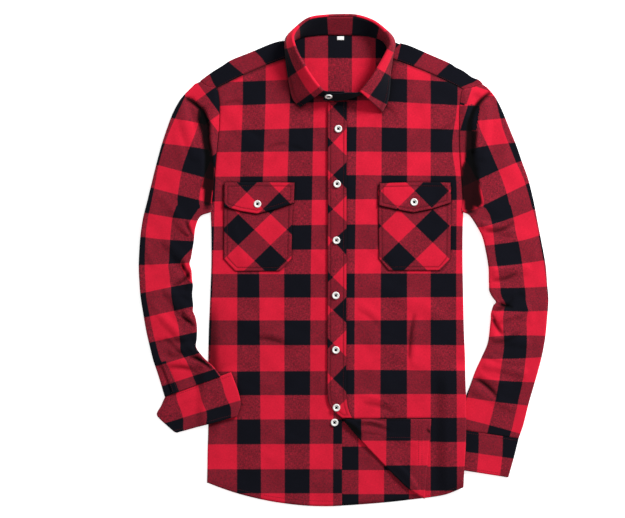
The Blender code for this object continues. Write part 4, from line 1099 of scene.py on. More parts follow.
def noise(tree, place, scale, detail):
    made = node(tree, "TexNoise")
    made.inputs["Scale"].default_value = scale
    made.inputs["Detail"].default_value = detail
    tree.links.new(place, made.inputs["Vector"])
    return Level(tree, made.outputs["Fac"])


def unevenness(tree, place, scale, detail, strength):
    """Noise about zero."""
    return (noise(tree, place, scale, detail) - 0.5) * strength


def new_material(name, roughness, specular):
    shade = bpy.data.materials.new(name)
    shade.use_nodes = True
    tree = shade.node_tree
    shader = tree.nodes["Principled BSDF"]
    shader.inputs["Roughness"].default_value = roughness
    shader.inputs["Specular IOR Level"].default_value = specular
    return shade, tree, shader


def yarn_level(line):
    """1 where the yarns that cross a line coordinate are red, 0 where they are dark."""
    made = node(line.tree, "MapRange", interpolation_type="SMOOTHSTEP")
    made.inputs["From Min"].default_value = -LINE_SOFTNESS
    made.inputs["From Max"].default_value = LINE_SOFTNESS
    (line * math.pi).maths("SINE").into(made.inputs["Value"])
    return Level(line.tree, made.outputs["Result"])


def yarn_noise(across, down, along_u, along_v):
    """Unevenness of the yarns, drawn out along them, from -0.5 to 0.5."""
    place = node(across.tree, "CombineXYZ")
    (across * along_u).into(place.inputs["X"])
    (down * along_v).into(place.inputs["Y"])
    return noise(across.tree, place.outputs[0], 1.0, 1) - 0.5


def plaid_colour(tree, level):
    """Dark where both yarns are dark, maroon where one of them is red, red where both are."""
    made = node(tree, "ValToRGB")
    stops = made.color_ramp.elements
    stops[0].position, stops[0].color = 0.06, NAVY_BLACK
    stops[1].position, stops[1].color = 1.0, RED
    stops.new(0.5).color = MAROON
    level.into(made.inputs["Fac"])
    return made.outputs["Color"]


def flannel(name):
    """Brushed twill: warp and weft in red and navy-black, seen through a short nap, with shade
    painted into its colour in creases and beside edges.
    """
    shade, tree, shader = new_material(name, 0.95, 0.05)
    place = node(tree, "TexCoord").outputs["Object"]
    parts = node(tree, "SeparateXYZ")
    tree.links.new(node(tree, "UVMap", uv_map="cloth").outputs["UV"], parts.inputs[0])
    across, down = Level(tree, parts.outputs["X"]), Level(tree, parts.outputs["Y"])
    nap = noise(tree, place, *NAP)
    wobble = (nap - 0.5) * LINE_WOBBLE
    warp, weft = yarn_level(across + wobble), yarn_level(down + wobble)
    twill = ((across - down) * (THREADS * math.tau / 4)).maths("SINE")
    yarns = yarn_noise(across, down, *YARNS) + yarn_noise(across, down, *YARNS[::-1])
    share = (twill * TWILL_CONTRAST + yarns * YARN_CONTRAST).maths("ADD", 0.5, clamp=True)
    level = warp + share * (weft - warp)
    specks = unevenness(tree, place, *PATCHES) + unevenness(tree, place, *FLECKS)
    colour = plaid_colour(tree, level.maths("ADD", specks, clamp=True))
    toned = node(tree, "VectorMath", operation="SCALE")
    tree.links.new(colour, toned.inputs[0])
    tone = yarns * YARN_TONE + unevenness(tree, place, *TONES)
    (tone + 1.0).into(toned.inputs["Scale"])
    # Painted shade: the colour is multiplied towards a near-black by each point's painted shade
    # attribute.
    dimmed = node(tree, "Mix", data_type="RGBA", blend_type="MULTIPLY")
    dimmed.inputs["B"].default_value = PAINTED_SHADE_COLOUR
    painted_shade = node(tree, "Attribute", attribute_name="painted_shade")
    tree.links.new(painted_shade.outputs["Fac"], dimmed.inputs["Factor"])
    tree.links.new(toned.outputs[0], dimmed.inputs["A"])
    tree.links.new(dimmed.outputs["Result"], shader.inputs["Base Color"])
    shader.inputs["Sheen Weight"].default_value = 0.03
    shader.inputs["Sheen Roughness"].default_value = 0.6
    bump = node(tree, "Bump")
    bump.inputs["Strength"].default_value = 0.5
    bump.inputs["Distance"].default_value = 0.00025
    (twill * 0.4 + nap * 1.2).into(bump.inputs["Height"])
    tree.links.new(bump.outputs["Normal"], shader.inputs["Normal"])
    return shade


def plain(name, colour, roughness, specular, grain, scale):
    """A material of one colour that varies a little."""
    shade, tree, shader = new_material(name, roughness, specular)
    mix = node(tree, "Mix", data_type="RGBA")
    mix.inputs["A"].default_value = (*colour, 1)
    mix.inputs["B"].default_value = (*(c * (1 - grain) for c in colour), 1)
    place = node(tree, "TexCoord").outputs["Object"]
    noise(tree, place, scale, 2).into(mix.inputs["Factor"])
    tree.links.new(mix.outputs["Result"], shader.inputs["Base Color"])
    return shade


# The body

def hem_point(x):
    return np.column_stack([x, np.interp(x, *smooth(points(HEM), 12).T)])


def armhole(hole):
    """The armhole seam's control points, from the shoulder's tip to the underarm."""
    return smooth(points(hole), ARMHOLE_STEPS)


def seam_bow(shares):
    """How far the front seam of the yoke bows up along its length."""
    return FRONT_SEAM_SAG * 4 * shares * (1 - shares)


def panel_net(start, end, shares, top):
    """A panel's control points in straight rows, which bend near the hem and the top seam."""
    bottom = hem_point(start[0, 0] + shares * (end[0, 0] - start[0, 0]))
    start[0], end[0] = bottom[0], bottom[-1]
    net = ruled(start, end, shares)
    bend, rise = bottom - net[0], top - net[-1]
    for row, keep in enumerate(BENT_ROWS):
        net[row] += keep * bend
    for row, keep in enumerate(BENT_ROWS):
        net[-1 - row] += keep * rise
    return net


def front_net(side, hole, neck, columns):
    """A front panel's control points: rows from hem to yoke, columns from side to front edge."""
    inward = -np.sign(side["edge_x"][0]) * (BODY_ROUND + WALL / 2)
    edge = points(side, "edge_x", "edge_y") + [inward, 0]
    hole_points = armhole(hole)
    start = np.vstack([edge, hole_points[YOKE_FRONT_AT:-1][::-1]])
    front, neckline = points(side, "front_x", "front_y"), points(neck)
    rows_above = len(hole_points) - YOKE_BACK_AT
    straight = along(front[-1], neckline[0], np.linspace(0, 1, rows_above))[1:]
    end = np.vstack([front, straight, neckline[1:]])
    top = start[-1] + columns[:, None] * (end[-1] - start[-1])
    top[:, 1] += seam_bow(columns)
    return panel_net(start, end, columns, top), len(front) + rows_above - 2


def side_turn(panel, side, rows):
    """A front's side folded under: round the edge and a strip's width in below."""
    top = panel[:rows, 0, :2]
    way = 1.0 if side == "left" else -1.0
    outward = np.tile([way, 0.0], (rows, 1))
    bend = turned_edge(top, outward, BODY_ROUND, front_height(top), back_height(top))
    shares = np.linspace(0, 1, 6)
    under = top[:, None] - outward[:, None] * (SIDE_TURN * shares)[None, :, None]
    strip = with_height(under, back_height(under))
    bend[:, 0], strip[:, 0] = panel[:rows, 0], bend[:, -1]
    edge_plaid = panel_plaid(top[:, None], side)
    return [(net, carried_on(edge_plaid, way * distance_along(net) / HALF_PERIOD))
            for net in (bend, strip)]


def turned_corner(panel, rows, counts):
    """The lower front corner, folded back along a slanting line onto the panel."""
    fold = panel[:rows, -1, :2]
    outward = np.tile([-math.sqrt(0.5), -math.sqrt(0.5)], (rows, 1))
    z_low = front_height(fold, lap_share(fold))
    bend = turned_edge(fold, outward, STEP / 2, z_low, z_low + STEP)
    end = spline(points(CORNER_END), counts[:CORNER_ROWS - 1])
    width = np.linalg.norm(end - fold, axis=1).max()
    over = ruled(fold, end, np.linspace(0, 1, int(width / FINE) + 2))
    creased = np.maximum(fold_height(over, CORNER_FOLDS), -CORNER_PUFF / 1.5)
    height = front_height(over, lap_share(over)) + STEP + CORNER_PUFF + creased
    flap = with_height(over, height)
    bend[:, 0], bend[:, -1] = panel[:rows, -1], flap[:, 0]
    # Painted shade all round the fold, and in the flap's creases.
    return [(bend, panel_plaid(bend[..., :2], "corner"), CORNER_FOLD_SHADE),
            (flap, panel_plaid(over, "corner"), painted_crease_shade(over, CORNER_FOLDS))]


def front_painted_shade(plan, seams, side):
    """Painted shade of a front: in its creases, beside its seams, and beside all that lies on it.
    """
    body, flap = POCKETS[side]
    leaf = points(COLLAR, "edge_x", "edge_y")
    edges = {"seam": seams, "pocket": loop_of(pocket_outline(body)),
             "flap": loop_of(flap_outline(flap)), "collar": leaf, "collar edge": leaf}
    if side == "left":
        edges |= {"placket": points(PLACKET, "x1", "y"), "corner's end": points(CORNER_END),
                  "left neck": points(LEFT_NECK)}
    else:
        ends = np.vstack([points(RIGHT_CUFF), points(RIGHT_CUFF, "inner_x", "inner_y")[::-1]])
        edges |= {"cuff": loop_of(ends), "sleeve": np.array(SLEEVE_SHADE, float),
                  "corner's fold": points(LEFT_SIDE, "front_x", "front_y")[:CORNER_ROWS],
                  "right neck": points(RIGHT_NECK)}
    dark = sum(beside(plan, edge, *SHADOWS[name]) for name, edge in edges.items())
    return painted_crease_shade(plan, BODY_FOLDS, dark)


def front(side, shade):
    """A front with its side turned under, and the left one with its corner turned back."""
    edges, hole, neck, columns = FRONTS[side]
    net, neck_row = front_net(edges, hole, neck, columns)
    counts = counts_for(net[:, 0], FINE)
    plan = refine(net, counts, counts_for(net[SPACING_ROW], FINE), [neck_row])
    side_rows = sum(counts[:len(edges["edge_x"]) - 1]) + 1
    seams = np.vstack([plan[side_rows - 1:, 0], plan[-1]])
    lap = lap_share(plan) if side == "left" else 0.0
    panel = with_height(plan, front_height(plan, lap) + seam_dip(plan, seams))
    patches = [(panel, panel_plaid(plan, side), front_painted_shade(plan, seams, side)),
               *side_turn(panel, side, side_rows)]
    name = f"front_{side}"
    sew(name, panel[2, 2:HEM_STITCHES_END[side]])
    if side == "left":
        patches += turned_corner(panel, sum(counts[:CORNER_ROWS - 1]) + 1, counts)
        flap = patches[-1][0]
        sew(name, *(on_cloth(flap, along(*ends, np.linspace(0, 1, 60)))
                    for ends in CORNER_STITCHES))
    return cloth(name, patches, shade)


def back_seam(x):
    half = (LEFT_ARMHOLE["x"][YOKE_BACK_ROW] - RIGHT_ARMHOLE["x"][YOKE_BACK_ROW]) / 2
    return YOKE_SEAM_Y - YOKE_SEAM_DROP * ((np.asarray(x, float) - YOKE_MIDDLE_X) / half) ** 2


def back(shade):
    """The back panel: between the side seams below the underarm, to the armholes above it."""
    inset = BODY_ROUND + WALL / 2 + SIDE_TURN + CURVED_SEAM_GAP
    start, end = (
        np.vstack([points(side, "edge_x", "edge_y") + [way * inset, 0],
                   armhole(hole)[YOKE_BACK_AT:][::-1][1:]])
        for side, hole, way in ((RIGHT_SIDE, RIGHT_ARMHOLE, 1), (LEFT_SIDE, LEFT_ARMHOLE, -1)))
    shares = (np.array(BACK_X) - BACK_X[0]) / (BACK_X[-1] - BACK_X[0])
    top_x = start[-1, 0] + shares * (end[-1, 0] - start[-1, 0])
    net = panel_net(start, end, shares, np.column_stack([top_x, back_seam(top_x)]))
    plan = refine(net, counts_for(net[:, 0], COARSE), counts_for(net[SPACING_ROW], COARSE))
    panel = with_height(plan, back_height(plan) + fold_height(plan, BACK_FOLDS))
    lines = panel_plaid(plan, "back")
    return keep_crisp(cloth("back", [(panel, lines, painted_crease_shade(plan, BACK_FOLDS))], shade), panel[-1])


def shoulder(fold, hole, side):
    """The yoke's part on the front: round the shoulder's fold and down to the front seam."""
    share = length_shares(fold)
    seam = along(hole[-1], points(FRONTS[side][2])[-1], share)
    seam[:, 1] += seam_bow(share) + SEWN
    bend = turned_edge(fold, outward_of(fold, CHEST), BODY_ROUND, BACK_Z, FRONT_Z)
    hole = np.vstack([hole[:-1], seam[:1]])
    neck = along(fold[-1], seam[-1], np.linspace(0, 1, len(hole)))
    plan = patch(fold, seam, hole, neck)
    flap = with_height(plan, FRONT_Z + seam_dip(plan, seam) + ripple(plan, 0.2))
    bend[:, -1] = flap[0]
    sew("yoke", flap[-2, 2:-2])
    # The flap carries painted shade beside the front seam.
    return [(bend, yoke_plaid(bend[..., :2], side, fold, seam)),
            (flap, yoke_plaid(plan, side, fold, seam), beside(plan, seam, *SHADOWS["yoke seam"]))]


def yoke(shade):
    """The yoke: across the back, and over each shoulder to the front seam."""
    top = points(YOKE_TOP)
    for rows in (slice(0, SHOULDER_ROWS), slice(-SHOULDER_ROWS, None)):
        top[rows] -= outward_of(top[rows], CHEST) * (BODY_ROUND + WALL / 2)
    top[SHOULDER_ROWS:-SHOULDER_ROWS, 1] += NECK_REACH
    counts = counts_for(top, FINE)
    top = spline(top, counts)
    right_rows = sum(counts[:SHOULDER_ROWS - 1]) + 1
    left_rows = sum(counts[1 - SHOULDER_ROWS:]) + 1
    counts = counts_for(armhole(RIGHT_ARMHOLE), FINE)
    right_end, left_end = (spline(armhole(hole), counts)[:sum(counts[:YOKE_BACK_AT]) + 1]
                           for hole in (RIGHT_ARMHOLE, LEFT_ARMHOLE))
    seam_x = np.interp(top[:, 0], top[[0, -1], 0], [right_end[-1, 0], left_end[-1, 0]])
    seam = np.column_stack([seam_x, back_seam(seam_x)])
    right_end[0], left_end[0] = top[0], top[-1]
    seam[0], seam[-1] = right_end[-1], left_end[-1]
    plan = patch(top, seam, right_end, left_end)
    panel = with_height(plan, BACK_Z)
    rows = sum(counts[:YOKE_FRONT_AT]) + 1
    patches = [(panel, panel_plaid(plan, "back")),
               *shoulder(top[:right_rows], right_end[:rows], "right"),
               *shoulder(top[-left_rows:][::-1], left_end[:rows], "left")]
    return keep_crisp(cloth("yoke", patches, shade), panel[-1])


# The sleeves and cuffs

def drawn_in(outer, inner, notches):
    """The inner edge of a tube, moved at its notches towards the outer edge."""
    toward = (outer - inner) / np.linalg.norm(outer - inner, axis=1)[:, None]
    for x, y, depth, reach in notches:
        near = abs(inner[:, :1] - x) < NOTCH_WINDOW
        inner = inner + toward * (depth * bell(inner[:, 1:] - y, reach) * near)
    return inner


def tube(outer, inner, height, wall, lift, plaid_rows, open_rows, creases=NO_CREASES,
         folds=CUFF_FOLDS, notches=(), gap=None):
    """A flattened tube in patches: over the top, round the outer edge and back below, and,
    past the open rows, round the inner edge. The control rows are made fine first."""
    counts = counts_for((outer + inner) / 2, FINE)
    fine = spline(np.column_stack([outer, inner, height]), counts)
    outer, inner, height = fine[:, :2], fine[:, 2:4], fine[:, 4]
    inner = drawn_in(outer, inner, notches)
    first_closed = sum(counts[:open_rows])
    closed = np.arange(len(outer)) >= first_closed
    radius = (height - wall) / 2
    width = np.linalg.norm(outer - inner, axis=1)
    direction = (outer - inner) / width[:, None]
    start = inner + direction * np.where(closed, radius + wall / 2, 0)[:, None]
    end = outer - direction * (radius + wall / 2)[:, None]
    shares = np.linspace(0, 1, int(width.max() / FINE) + 2)
    over = ruled(start, end, shares)
    under = over[:, ::-1]
    seam_height = np.where(closed, height, FRONT_Z + wall / 2)[:, None]
    full = seam_height + (height[:, None] - seam_height) * ramp(shares[None], 0, SEAM_SLOPE)
    fade = np.minimum(1, 8 * (1 - shares[None])) * np.minimum(1, 14 * shares[None])
    shown = crease_height(over, creases) + fold_height(over, folds) + ripple(over)
    raised = np.maximum(full - wall / 2 + shown * fade, 1.5 * wall + TUBE_ROOM)
    top = with_height(over, raised + lift(over))
    bottom = with_height(under, wall / 2 + lift(under))
    # Painted shade in the creases, less near the outer edge, and over the armhole's gap.
    deep = painted_crease_shade(over, folds) * np.minimum(1, 7 * (1 - shares[None]))
    if gap is not None:
        deep = np.maximum(deep, within(over, gap, GAP_SOFTNESS))
    bend = turned_edge(end, direction, radius, top[:, -1, 2], bottom[:, 0, 2])
    inner_bend = turned_edge(start, -direction, radius, bottom[:, -1, 2], top[:, 0, 2])
    plaid = sleeve_plaid(plaid_rows, counts, shares)
    bottom_plaid = plaid[:, ::-1].copy()
    bottom_plaid[..., 0] = 2 * plaid[:, -1:, 0] - bottom_plaid[..., 0] - ROUND_EDGE
    steps = np.linspace(0, ROUND_EDGE, FOLD_FACETS + 1)[None]
    inner_plaid = carried_on(plaid[:, :1], steps[:, ::-1])
    return [(top, plaid, deep), (bend, carried_on(plaid[:, -1:], -steps)), (bottom, bottom_plaid),
            (inner_bend[first_closed:], inner_plaid[first_closed:])]


def sleeve(side, hole, top, lower, lift, creases, folds, lines, shade):
    """A sleeve from the shoulder's tip to its cuff; the right one with its placket's end."""
    seam = armhole(hole)
    seam = seam - outward_of(seam, CHEST) * SEWN
    upper_rows = smooth(np.column_stack([points(top), top["height"]]), ARMHOLE_STEPS)
    outer = np.vstack([upper_rows, np.column_stack([points(lower), lower["height"]])[1:]])
    inner = np.vstack([seam, points(lower, "inner_x", "inner_y")[1:]])
    upper = len(top["x"])
    plaid_rows = np.vstack([smooth(rows_of(lines)[:upper], ARMHOLE_STEPS), rows_of(lines)[upper:]])
    # The armhole's gap, where shade is painted on the sleeve.
    gap = np.column_stack(at(*np.array(ARMHOLE_GAPS[side], float).T))
    patches = tube(outer[:, :2], inner, outer[:, 2], WALL, lift, plaid_rows, len(seam) - 1,
                   creases, folds, NOTCHES[side], gap)
    net, plaid, deep = patches[0]
    patches[0] = (net, cap_plaid(net, plaid, side), deep)
    pieces = [cloth(f"sleeve_{side}", patches, shade)]
    if side == "right":
        pieces.append(sleeve_placket(net, plaid, deep, shade))
    return pieces


def sleeves(shade):
    return (sleeve("right", RIGHT_ARMHOLE, RIGHT_SLEEVE_TOP, RIGHT_SLEEVE, arm_lift,
                   RIGHT_SLEEVE_CREASES, RIGHT_SLEEVE_FOLDS, RIGHT_SLEEVE_PLAID, shade)
            + sleeve("left", LEFT_ARMHOLE, LEFT_SLEEVE_TOP, LEFT_SLEEVE, no_lift,
                     LEFT_SLEEVE_CREASES, LEFT_SLEEVE_FOLDS, LEFT_SLEEVE_PLAID, shade))


def cap_plaid(net, plaid, side):
    """The plaid at each corner of each facet, with the cap's own lines inside its crease."""
    cap = CAPS[side]
    crease, (c, s) = cap["crease"], cap["direction"]
    px, py = pixel(net[..., :2])
    lines = np.dstack([line_at(c * px + s * py, cap["first"], "pixel"),
                       line_at(s * px - c * py, cap["second"], "pixel")])
    lines[..., 1] += cap["turn"] * ramp(1 - lines[..., 0], 0, 1) * ramp(1 - lines[..., 1], 0, 1.4)
    x, y = corners_of(px).mean(-1), corners_of(py).mean(-1)
    edge = np.interp(y, crease["row"], crease["column"])
    inside = (cap["way"] * (x - edge) > 0) & (y < crease["row"][-1])
    corners = np.where(inside[..., None, None], corners_of(lines), corners_of(plaid))
    if side == "left":
        slant = LEFT_SLANT
        (column, row), (across, down) = slant["line_at"], slant["gaps"]
        slanted = np.dstack([1 + (px + slant["lean"] * (py - row) - column) / across,
                             1 + (py - row) / down])
        for crease, own in ((slant["crease"], slanted),
                            (LEFT_STRIP, panel_plaid(net[..., :2], "left"))):
            rows = crease["row"]
            inside = (x < np.interp(y, rows, crease["column"])) & (y > rows[0]) & (y < rows[-1])
            corners = np.where(inside[..., None, None], corners_of(own), corners)
    return corners


def sleeve_placket(net, plaid, deep, shade):
    """The narrow strip that finishes the sleeve's slit, on the sleeve's own points."""
    columns = slice(*(int(share * net.shape[1]) for share in SLEEVE_PLACKET_SHARES))
    rows = slice(-int(SLEEVE_PLACKET_LENGTH / FINE), None)
    strip = net[rows, columns] + [0, 0, STEP]
    sew("sleeve_placket", strip[1:-1, 1], strip[1:-1, -2])
    lines = plaid[rows, columns] + [SLEEVE_PLACKET_SHIFT, 0.0]
    # It carries the sleeve's painted shade.
    return cloth("sleeve_placket", [(strip, lines, deep[rows, columns])], shade,
                 stands_for="sleeve_placket_right")


def cuff(side, rows, lines, lift, shade):
    """A cuff; its first row lies over the end of its sleeve."""
    outer, inner = points(rows), points(rows, "inner_x", "inner_y")
    for edge in (outer, inner):
        edge[0] += CUFF_OVERLAP * (edge[0] - edge[1]) / np.linalg.norm(edge[0] - edge[1])
    outer, inner = smooth(outer, CUFF_STEPS), smooth(inner, CUFF_STEPS)
    height = np.full(len(outer), CUFF_HEIGHT)
    plaid_rows = smooth(rows_of(lines), CUFF_STEPS)
    if side == "left":
        patches = tube(outer, inner, height, CUFF_WALL, lift, plaid_rows, 0)
    else:                     # it is folded round its inner edge and open along its outer one
        a, b, c, at_outer, at_inner = plaid_rows.T
        plaid_rows = np.column_stack([1 - c, 1 - b, 1 - a, at_inner, at_outer])
        patches = tube(inner, outer, height, CUFF_WALL, lift, plaid_rows, len(outer) - 1)[:3]
        for _, plaid, *_ in patches:
            plaid[..., 0] = 2 - plaid[..., 0]
    net = patches[0][0]
    sew(f"cuff_{side}", net[2], net[-3], wall=CUFF_WALL)
    return cloth(f"cuff_{side}", patches, shade, CUFF_WALL)


# The collar

def stand_rows():
    """Foot and top of the stand in each row, from its hidden lap round to the one over it."""
    under, over = rows_of(UNDER_LAP), rows_of(OVER_LAP)
    under[:, 3:] -= UNDER_LAP_SAG * (under[:, 3:] - under[:, :3])
    return smooth(np.vstack([under, rows_of(COLLAR)[:, :6], over]), STAND_STEPS)


def collar_stand(shade):
    rows = stand_rows()
    foot, top = rows[:, :3], rows[:, 3:]
    shares = np.linspace(0, 1, STAND_FACETS + 1)
    lines = np.interp(length_shares(foot), STAND_LINES["share"], STAND_LINES["line"])
    u, v = np.meshgrid(lines, STAND_ROW[0] + (STAND_ROW[1] - STAND_ROW[0]) * shares, indexing="ij")
    return cloth("collar_stand", [(ruled(foot, top, shares), np.dstack([u, v]))], shade,
                 COLLAR_WALL)


def leaf_net():
    rows = table(COLLAR_COLUMNS, smooth(rows_of(COLLAR), LEAF_STEPS))
    foot, top, edge = (np.column_stack([rows[end + axis] for axis in ("_x", "_y", "_z")])
                       for end in ("foot", "top", "edge"))
    out = outward_of(top[:, :2], NECK_MIDDLE)
    return np.array([leaf_section(*section)
                     for section in zip(foot, top, edge, out, rows["reach"], rows["drop"])])


def leaf_section(foot, top, edge, out, reach, drop):
    """One section of the leaf: a turn over the stand's top, then a swing down to the edge."""
    out = np.array([*out, 0])
    up = (top - foot) / np.linalg.norm(top - foot)
    outside = np.array([*(out[:2] * up[2]), -(up @ out)])
    centre = top + up * LEAF_GAP + outside * LEAF_ROLL
    section = [centre + LEAF_ROLL * (math.cos(angle) * outside + math.sin(angle) * up)
               for angle in np.radians(np.linspace(*LEAF_TURN, 9))]
    begin = section[-1]
    swing = begin + out * reach - np.array([0, 0, drop])
    for t in np.linspace(0, 1, LEAF_FACETS + 1)[1:]:
        point = (1 - t) ** 2 * begin + 2 * t * (1 - t) * swing + t * t * edge
        section.append([point[0], point[1], max(point[2], COLLAR_WALL / 2 + 0.1)])
    return section


def leaf_stitches(net, run):
    """The leaf's row of stitches, the same distance from its free edge all along."""
    line = np.array([[np.interp(lengths[-1] - LEAF_INSET, lengths, section[:, axis])
                      for axis in range(3)] for section, lengths in zip(net, run)])
    up = np.cross(np.gradient(line, axis=0), net[:, -1] - net[:, -4])
    up *= np.sign(up[:, 2:3]) / np.linalg.norm(up, axis=1)[:, None]
    return line + up * (COLLAR_WALL / 2 + STITCH["lift"]), up


def collar_leaf(shade):
    net = leaf_net()
    run = distance_along(net)
    row = np.arange(len(net)) / LEAF_STEPS
    u = line_at(row[:, None] + LEAF_SLANT * run * ramp(row, 16, 19)[:, None], LEAF_LINES, "row")
    first = np.interp(row, [5, 15], LEAF_LINE_ALONG)[:, None]
    plaid = np.dstack([u, 1 + (run - first) / HALF_PERIOD])
    STITCHES["collar_leaf"] = [leaf_stitches(net, run)]
    # Painted shade along the groove of the leaf's stitching.
    dark = 0.4 * bell(run[:, -1:] - run - LEAF_INSET, 1.6)
    return cloth("collar_leaf", [(net, plaid, dark)], shade, COLLAR_WALL)


# What lies on the panels

def strip_plan(rows, columns, breaks=()):
    """Points of a piece whose rows run straight across it."""
    line = np.column_stack([rows["y"], rows["x0"], rows["x1"]])
    line = spline(line, counts_for(line[:, :1], SEWN_FINE), breaks)
    return ruled(line[:, [1, 0]], line[:, [2, 0]], np.linspace(0, 1, columns))


def placket(shade):
    plan = strip_plan(PLACKET, 21)
    height = front_height(plan, lap_share(plan)) + STEP + pressed(plan, 0.25, PLACKET_INSET)
    net = with_height(plan, height)
    straight = PLACKET["y"] > PLACKET_STRAIGHT
    for side, inset in (("x0", PLACKET_INSET), ("x1", -PLACKET_INSET)):
        line = points(PLACKET, side, "y")[straight] + [inset, 0]
        sew("placket", on_cloth(net, spaced(line)))
    return cloth("placket", [(net, placket_plaid(plan), stitch_groove_shade(plan, PLACKET_INSET))], shade)


def pocket(side, shade):
    """A pocket and its flap."""
    body, flap = POCKETS[side]
    plan = strip_plan(body, 72, (1, 2, 3))
    body_net = with_height(plan, front_height(plan) + STEP + pressed(plan, 0.6, POCKET_INSET))
    # Painted shadow beneath the flap's lower edge.
    flap_shadow = beside(plan, points(flap, "x1", "y1"), *SHADOWS["under flap"])
    dark = np.maximum(stitch_groove_shade(plan, POCKET_INSET), flap_shadow)
    pieces = [sewn_round(f"pocket_{side}", body_net, patch_plaid(plan, *POCKET_BIAS[side]), dark,
                         pocket_outline(body), shade)]
    upper, lower = points(flap, "x0", "y0"), points(flap, "x1", "y1")
    counts = counts_for(upper, SEWN_FINE)
    shares = np.linspace(0, 1, 30)
    plan = np.swapaxes(ruled(spline(upper, counts), linear(lower, counts), shares), 0, 1)
    raised = 0.4 + 0.9 * shares[:, None] ** 2
    net = with_height(plan, front_height(plan) + 2 * STEP + raised
                      + pressed(plan, 0.3, POCKET_INSET))
    pieces.append(sewn_round(f"pocket_flap_{side}", net, patch_plaid(plan, *FLAP_BIAS[side]),
                             stitch_groove_shade(plan, POCKET_INSET), flap_outline(flap), shade))
    return pieces


def sewn_round(name, net, plaid, dark, outline, shade):
    sew(name, on_cloth(net, spaced(loop_of(inset_outline(outline, POCKET_INSET)))))
    return cloth(name, [(net, plaid, dark)], shade)


def label(shade):
    x, y = (LABEL[axis] + np.linspace(-LABEL[size] / 2, LABEL[size] / 2, count)
            for axis, size, count in (("x", "width", 12), ("y", "height", 7)))
    plan = np.dstack(np.meshgrid(x, y))
    net = with_height(plan, LABEL_HEIGHT + 0.1 * np.sin(plan[..., 0] / 2))
    return cloth("label", [(net, plan / 40)], shade, LABEL_WALL)


def pocket_outline(rows):
    return np.vstack([points(rows, "x0", "y"), points(rows, "x1", "y")[::-1]])


def flap_outline(rows):
    return np.vstack([points(rows, "x0", "y0"), points(rows, "x1", "y1")[::-1]])


def inset_outline(outline, inset):
    """A closed outline's corners moved inwards by the same distance from each of its sides."""
    runs = np.roll(outline, -1, axis=0) - outline
    runs /= np.linalg.norm(runs, axis=1)[:, None]
    x, y = outline.T
    turn = np.sign(np.sum(x * np.roll(y, -1) - np.roll(x, -1) * y))
    inward = turn * np.column_stack([-runs[:, 1], runs[:, 0]])
    before = np.roll(inward, 1, axis=0)
    return outline + inset * (before + inward) / (1 + np.sum(before * inward, axis=1))[:, None]


def spaced(line, spacing=2.0):
    """Points at equal distances along a polyline."""
    count = int(np.linalg.norm(np.diff(line, axis=0), axis=1).sum() / spacing) + 1
    where, shares = np.linspace(0, 1, count), length_shares(line)
    return np.column_stack([np.interp(where, shares, line[:, axis]) for axis in range(2)])


def on_cloth(net, line):
    """A plan line laid on a piece of cloth, at the height of its nearest points."""
    spots = net.reshape(-1, 3)
    heights = []
    for point in line:
        away = np.linalg.norm(spots[:, :2] - point, axis=1)
        nearest = np.argpartition(away, 4)[:4]
        weight = 1 / (away[nearest] + 0.05)
        heights.append(weight @ spots[nearest, 2] / weight.sum())
    return np.column_stack([line, heights])


# Buttons

def lathe(bm, section, facets, place):
    """A turned form: a ring of points for each radius and height of its section."""
    rings = []
    for radius, z in section:
        angles = np.arange(facets if radius else 1) * math.tau / facets
        rings.append([bm.verts.new(place((radius * math.cos(a), radius * math.sin(a), z)))
                      for a in angles])
    for low, high in zip(rings, rings[1:]):
        for i in range(facets):
            j = (i + 1) % facets
            corners = [low[i % len(low)], low[j % len(low)], high[j % len(high)],
                       high[i % len(high)]]
            bm.faces.new(list(dict.fromkeys(corners)))


def button_tilt():
    """How far the collar's button leans back with the stand that it is sewn on."""
    lap = stand_rows()[-BUTTON_LAP_ROWS:]
    order = np.argsort(lap[:, 0])
    _, foot_y, foot_z, _, top_y, top_z = (
        np.interp(COLLAR_BUTTON_X, lap[order, 0], column) for column in lap[order].T)
    return math.atan2(top_z - foot_z, top_y - foot_y)


def button_place(name, tilt):
    """Where a point of a button, in its own millimetres, lies in the scene."""
    low, high = (np.array(corner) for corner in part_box(name))
    c, s = math.cos(tilt), math.sin(tilt)
    turn = np.array([[1, 0, 0], [0, c, -s], [0, s, c]])
    base = (low + high) / 2 - turn @ np.array([0, 0, BUTTON_MIDDLE]) * MM
    return lambda spot: base + turn @ (np.array(spot, float) * MM)


def buttons(pearl, thread):
    names = [f"button_placket_{i}" for i in range(1, 7)]
    names += ["button_front", "button_pocket_right", "button_pocket_left", "button_collar"]
    for name in names:
        place = button_place(name, button_tilt() if name == "button_collar" else 0.0)
        bm = bmesh.new()
        lathe(bm, BUTTON_SECTION, BUTTON_FACETS, place)
        bmesh.ops.recalc_face_normals(bm, faces=bm.faces)
        built_piece(bm, name + "_shell", pearl, [name])
        button_thread(name, place, thread)


def button_thread(name, place, thread):
    """Four dark holes and the two stitches that cross between them."""
    bm = bmesh.new()
    for x, y in HOLES:
        lathe(bm, HOLE_SECTION, 10,
              lambda spot, x=x, y=y: place((spot[0] + x, spot[1] + y, spot[2])))
    for ends in (HOLES[::2], HOLES[1::2]):
        start, end = (np.array([*spot, HOLE_SECTION[-1][1]]) for spot in ends)
        strand(bm, start, end, np.array([0, 0, 1.0]), *BUTTON_STRAND, place)
    bmesh.ops.recalc_face_normals(bm, faces=bm.faces)
    return built_piece(bm, name + "_thread", thread)


# Stitching

